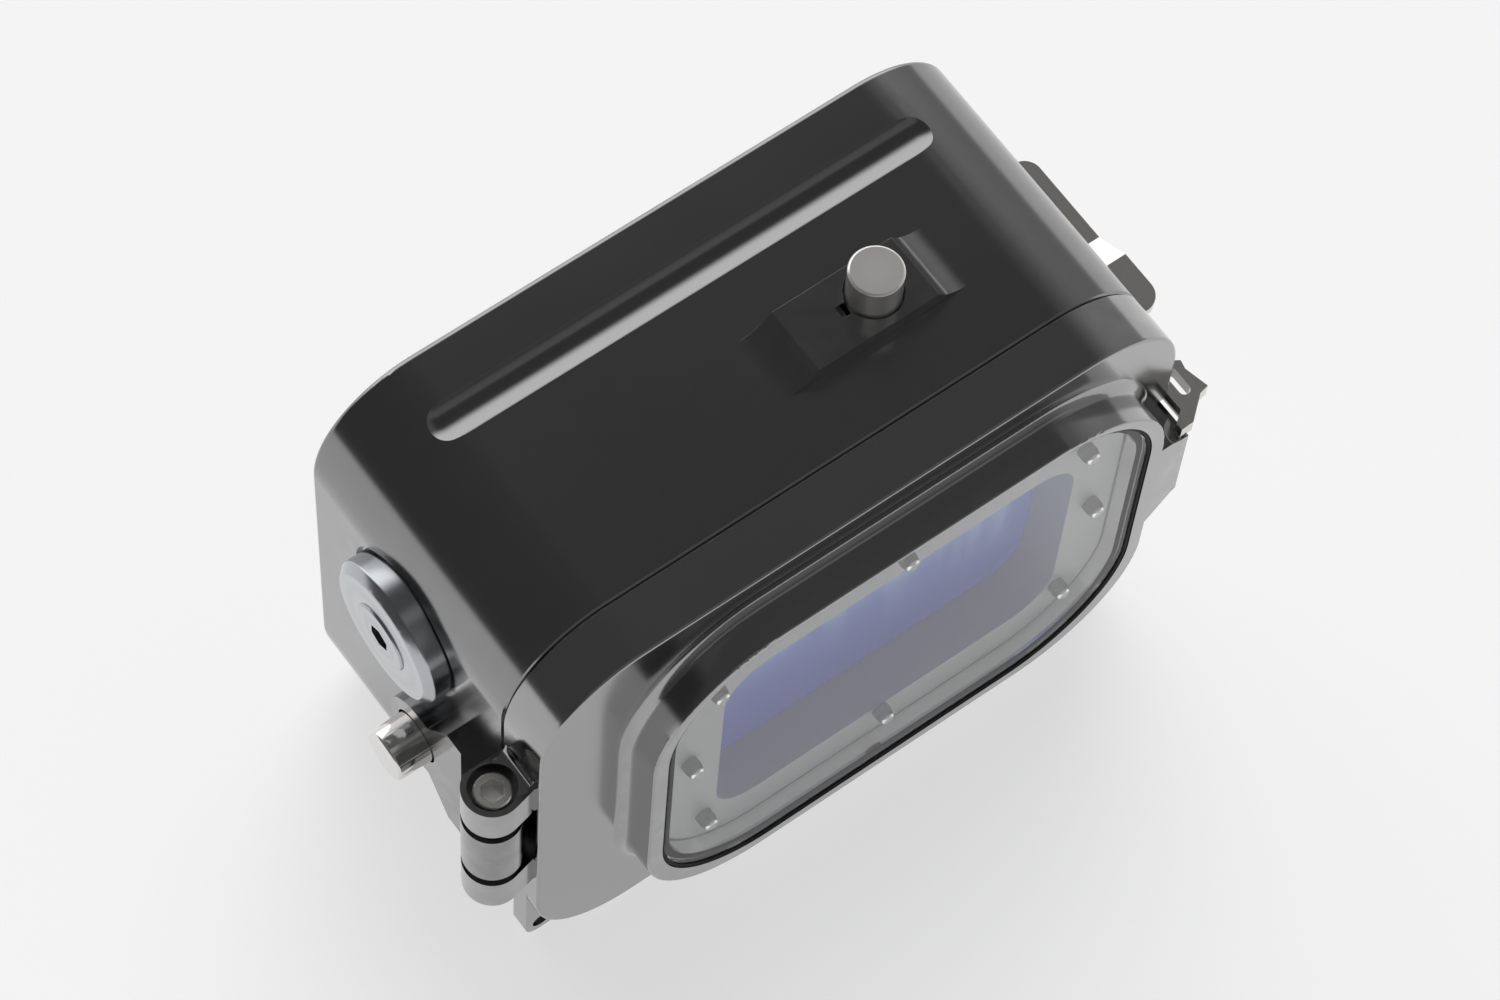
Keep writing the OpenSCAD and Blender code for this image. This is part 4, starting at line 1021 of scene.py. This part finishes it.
@dataclass
class PushButton:
    """A push button with its cap and stem, wound return spring, seal and clip."""

    prefix: str
    joint: str
    axis: Axis
    outward: Vector
    spring_floor: Vector
    spring_length: float
    travel: float
    wire: float = 0.42
    wire_sides: int = 10
    turns: int = 5
    turn_steps: int = 20
    coil: float = 3.36
    coil_angle: float = 50.0
    colour: Colour = (0.9, 0.88, 0.86)
    metallic: float = 0.76

    def build(self) -> None:
        """Builds the button's pieces."""
        finish = turned(
            f"turned_{self.prefix}",
            self.prefix,
            self.axis,
            self.colour,
            "button_metal",
            0.09,
            metallic=self.metallic,
        )
        Part(self.prefix, f"{self.prefix}_cap", finish, 0.12).make()
        Part(f"{self.prefix}_seal", f"{self.prefix}_stem_seal", RUBBER).make()
        Part(f"{self.prefix}_clip", f"{self.prefix}_stem_clip", SMALL_STEEL, 0.08, 1).make()
        self.spring()

    def spring(self) -> None:
        """Winds the return spring."""
        bpy.ops.mesh.primitive_circle_add(
            vertices=self.wire_sides,
            radius=self.wire * MM,
            rotation=(pi / 2, 0, 0),
            location=(self.coil * MM, 0, self.wire * MM),
        )
        spring = bpy.context.active_object
        spring.name = f"{self.prefix}_wound_spring"
        settle(spring)
        steps = self.turn_steps * self.turns
        apply_modifier(
            spring,
            "SCREW",
            axis="Z",
            angle=tau * self.turns,
            screw_offset=(self.spring_length - 2 * self.wire) * MM,
            steps=steps,
            render_steps=steps,
        )
        closed_outwards(spring)
        spring.rotation_mode = "QUATERNION"
        spring.rotation_quaternion = self.outward.to_track_quat("Z", "Y")
        spring.location = self.spring_floor * MM
        settle(spring)
        place_piece(spring, SMALL_STEEL, "housing", self.coil_angle, f"{self.prefix}_spring")
        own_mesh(spring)


@dataclass
class SidePlug:
    """The bulkhead plug on the left side."""

    colour: Colour = (0.46, 0.48, 0.495)

    def build(self) -> None:
        """Builds the plug, its centre screw, seal and nut."""
        rings = self.rings("turned_plug", "bulkhead_plug", 0.2, 0.25)
        Part("bulkhead_plug", "plug_flange", rings, 0.25).make()
        centre = self.rings("turned_plug_screw", "plug_screw", 0.22, 0.18)
        Part("plug_screw", "plug_centre_screw", centre, 0.15).make()
        Part("plug_seal", "plug_seal_ring", RUBBER).make()
        Part("plug_nut", "plug_lock_nut", SMALL_STEEL, 0.4).make()

    def rings(self, name: str, node: str, roughness: float, pitch: float) -> TurnedFinish:
        """Makes one of the plug's turned finishes.

        Args:
            name: The finish's name.
            node: The CAD node that gives the centre.
            roughness: The metal's roughness.
            pitch: The distance from ring to ring in millimetres.

        Returns:
            The finish.
        """
        return turned(name, node, Axis.X, self.colour, "plug_metal", roughness, pitch=pitch)


@dataclass
class FrontPort:
    """The round lens port in the front."""

    colour: Colour = (0.1, 0.1, 0.105)

    def build(self) -> None:
        """Builds the port's ring, glass, seal and screws."""
        ring = turned(
            "turned_port_ring",
            "front_port_ring",
            Axis.Y,
            self.colour,
            "body_metal",
            0.3,
            pitch=0.4,
        )
        Part("front_port_ring", "port_retaining_ring", ring, 0.3).make()
        Part("front_port_glass", "port_window", PORT_GLASS, 0.3).make()
        Part("front_port_seal", "port_seal_ring", RUBBER).make()
        Part("front_port_screws", "port_ring_screws", SMALL_STEEL, 0.15).make()


@dataclass
class Tray(Assembly):
    """The camera tray in the cavity."""

    parts: tuple[Part, ...] = (
        Part("camera_tray", "camera_tray_plate", INNER_BLACK, 0.3),
        Part("tray_screws", "tray_screw_heads", SMALL_STEEL, 0.15),
        Part("camera_screw", "camera_mount_screw", SMALL_STEEL, 0.2),
    )


@dataclass
class Latch(Assembly):
    """The side latch: base, lever, hook, pivot and pin."""

    parts: tuple[Part, ...] = (
        Part("latch_base", "latch_base_plate", LATCH, 0.15),
        Part("latch_base_screws", "latch_base_screw_heads", SMALL_STEEL, 0.15),
        Part("latch_pivot", "latch_pivot_pin", SMALL_STEEL, 0.12),
        Part("latch_lever", "latch_lever_plate", LATCH, 0.12, angle=12.0),
        Part("latch_hook", "latch_hook_link", LATCH, 0.12),
        Part("latch_hook_pin", "latch_hook_rivet", SMALL_STEEL, 0.12),
    )


# Studio


@dataclass
class Studio:
    """The pale floor, the soft light and the camera, its lens and sensor in millimetres."""

    floor_size: float = 12.0
    floor_drop: float = 0.0002
    floor_colour: float = 0.44
    floor_roughness: float = 0.9
    floor_glow: float = 0.62
    overhead: float = 0.09
    card_level: float = 1.6
    card_edge: Span = (0.61, 0.88)
    card_from: Vector = field(default_factory=lambda: Vector((0.26, 0.95, 0.17)).normalized())
    side_level: float = 0.24
    side_edge: Span = (0.4, 0.85)
    back_level: float = 0.12
    back_edge: Span = (0.4, 0.9)
    strip_level: float = 0.15
    strip_start: Span = (0.14, 0.22)
    strip_end: Span = (0.42, 0.5)
    strip_height: Span = (0.5, 0.7)
    key_strength: float = 1.15
    key_angle: float = 40.0
    key_from: Vector = field(default_factory=lambda: Vector((0.45, 0.5, 1.0)))
    eye: Vector = field(default_factory=lambda: Vector((-0.27135, -0.31714, 0.87144)))
    right: Vector = field(default_factory=lambda: Vector((0.80601683, -0.590216, 0.04451906)))
    down: Vector = field(default_factory=lambda: Vector((-0.51234717, -0.73338021, -0.44682641)))
    lens: float = 124.005
    sensor: float = 36.0
    clip: Span = (0.05, 50.0)

    def build(self) -> None:
        """Builds the studio round the object."""
        self.floor()
        self.world()
        self.key_light()
        self.camera()
        bpy.context.scene.view_settings.view_transform = "Standard"

    def floor(self) -> None:
        """Lays the floor, whose glow only the camera, mirrors and glass see, so it stays pale."""
        place = (0, 0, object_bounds()[0].z - self.floor_drop)
        bpy.ops.mesh.primitive_plane_add(size=self.floor_size, location=place)
        floor = bpy.context.active_object
        floor.name = "studio_floor"
        settle(floor)
        material = bpy.data.materials.new("pale_floor")
        material.use_nodes = True
        tree = material.node_tree
        shader = next(node for node in tree.nodes if node.type == "BSDF_PRINCIPLED")
        shader.inputs["Base Color"].default_value = (self.floor_colour,) * 3 + (1.0,)
        shader.inputs["Roughness"].default_value = self.floor_roughness
        shader.inputs["Specular IOR Level"].default_value = 0.0
        path = tree.nodes.new("ShaderNodeLightPath")
        camera, mirror = path.outputs["Is Camera Ray"], path.outputs["Is Glossy Ray"]
        seen = math_node(tree, "MAXIMUM", camera, mirror)
        seen = math_node(tree, "MAXIMUM", seen, path.outputs["Is Transmission Ray"])
        shader.inputs["Emission Color"].default_value = (1.0, 1.0, 1.0, 1.0)
        glow = math_node(tree, "MULTIPLY", seen, self.floor_glow)
        tree.links.new(glow, shader.inputs["Emission Strength"])
        floor.data.materials.append(material)
        floor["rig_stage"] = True

    def world(self) -> None:
        """Makes a dim world: a white card in front, others beside and behind, a strip above."""
        world = bpy.data.worlds.new("studio_world")
        bpy.context.scene.world = world
        world.use_nodes = True
        tree = world.node_tree
        background = next(node for node in tree.nodes if node.type == "BACKGROUND")
        place = tree.nodes.new("ShaderNodeTexCoord")
        split = tree.nodes.new("ShaderNodeSeparateXYZ")
        facing = tree.nodes.new("ShaderNodeVectorMath")
        facing.operation = "DOT_PRODUCT"
        facing.inputs[1].default_value = self.card_from
        tree.links.new(place.outputs["Generated"], split.inputs[0])
        tree.links.new(place.outputs["Generated"], facing.inputs[0])
        card = ramp(tree, facing.outputs["Value"], *self.card_edge)
        side = ramp(tree, split.outputs[0], *self.side_edge)
        behind = math_node(tree, "MULTIPLY", split.outputs[1], -1.0)
        back = ramp(tree, behind, *self.back_edge)
        level = math_node(tree, "MULTIPLY_ADD", card, self.card_level, self.overhead)
        strip = self.strip(tree, behind, split.outputs[2])
        level = math_node(tree, "MULTIPLY_ADD", strip, self.strip_level, level)
        level = math_node(tree, "MULTIPLY_ADD", side, self.side_level, level)
        level = math_node(tree, "MULTIPLY_ADD", back, self.back_level, level)
        tree.links.new(level, background.inputs["Strength"])
        background.inputs["Color"].default_value = (1.0, 1.0, 1.0, 1.0)

    def strip(self, tree: Tree, behind: Socket, up: Socket) -> Socket:
        """Makes a strip of light overhead, a little behind the object and along its width.

        Args:
            tree: The world's tree.
            behind: How far the direction points to the rear.
            up: How far it points up.

        Returns:
            1 inside the strip, 0 outside.
        """
        start = ramp(tree, behind, *self.strip_start)
        end = math_node(tree, "SUBTRACT", 1.0, ramp(tree, behind, *self.strip_end))
        above = ramp(tree, up, *self.strip_height)
        return math_node(tree, "MULTIPLY", math_node(tree, "MULTIPLY", start, end), above)

    def key_light(self) -> None:
        """Adds one soft lamp that casts the object's shadow and isn't mirrored in the metal."""
        bpy.ops.object.light_add(type="SUN")
        lamp = bpy.context.active_object
        lamp.name = "key_lamp"
        lamp.data.energy = self.key_strength
        lamp.data.angle = radians(self.key_angle)
        lamp.rotation_mode = "QUATERNION"
        lamp.rotation_quaternion = self.key_from.to_track_quat("Z", "Y")
        lamp.visible_glossy = False

    def camera(self) -> None:
        """Sets the camera at the photograph's viewing angle."""
        data = bpy.data.cameras.new("view_camera")
        data.lens, data.sensor_width, data.sensor_fit = self.lens, self.sensor, "HORIZONTAL"
        data.clip_start, data.clip_end = self.clip
        camera = bpy.data.objects.new("view_camera", data)
        bpy.context.scene.collection.objects.link(camera)
        back = self.right.cross(-self.down)
        turn = Matrix((self.right, -self.down, back)).transposed().to_4x4()
        camera.matrix_world = Matrix.Translation(self.eye) @ turn
        bpy.context.scene.camera = camera


def main() -> None:
    """Builds the whole housing, then its studio."""
    logging.basicConfig(level=logging.INFO, format="%(name)s: %(message)s")
    rest()
    top_button = PushButton(
        prefix="top_button",
        joint="top_button_press",
        axis=Axis.Z,
        outward=Vector((0, 0, 1)),
        spring_floor=Vector((23.3, -8.1, 101.1)),
        spring_length=9.4,
        travel=1.6,
        metallic=0.6,
    )
    side_button = PushButton(
        prefix="side_button",
        joint="side_button_press",
        axis=Axis.X,
        outward=Vector((-1, 0, 0)),
        spring_floor=Vector((-66.9, -7.5, 41.3)),
        spring_length=8.8,
        travel=2.0,
    )
    assemblies = (
        Shell(),
        Door(),
        ScreenModule(),
        Hinge(),
        top_button,
        side_button,
        SidePlug(),
        FrontPort(),
        Tray(),
        Latch(),
    )
    for assembly in assemblies:
        assembly.build()
        log.info("%s done", type(assembly).__name__)
    Studio().build()


if __name__ == "__main__":
    main()
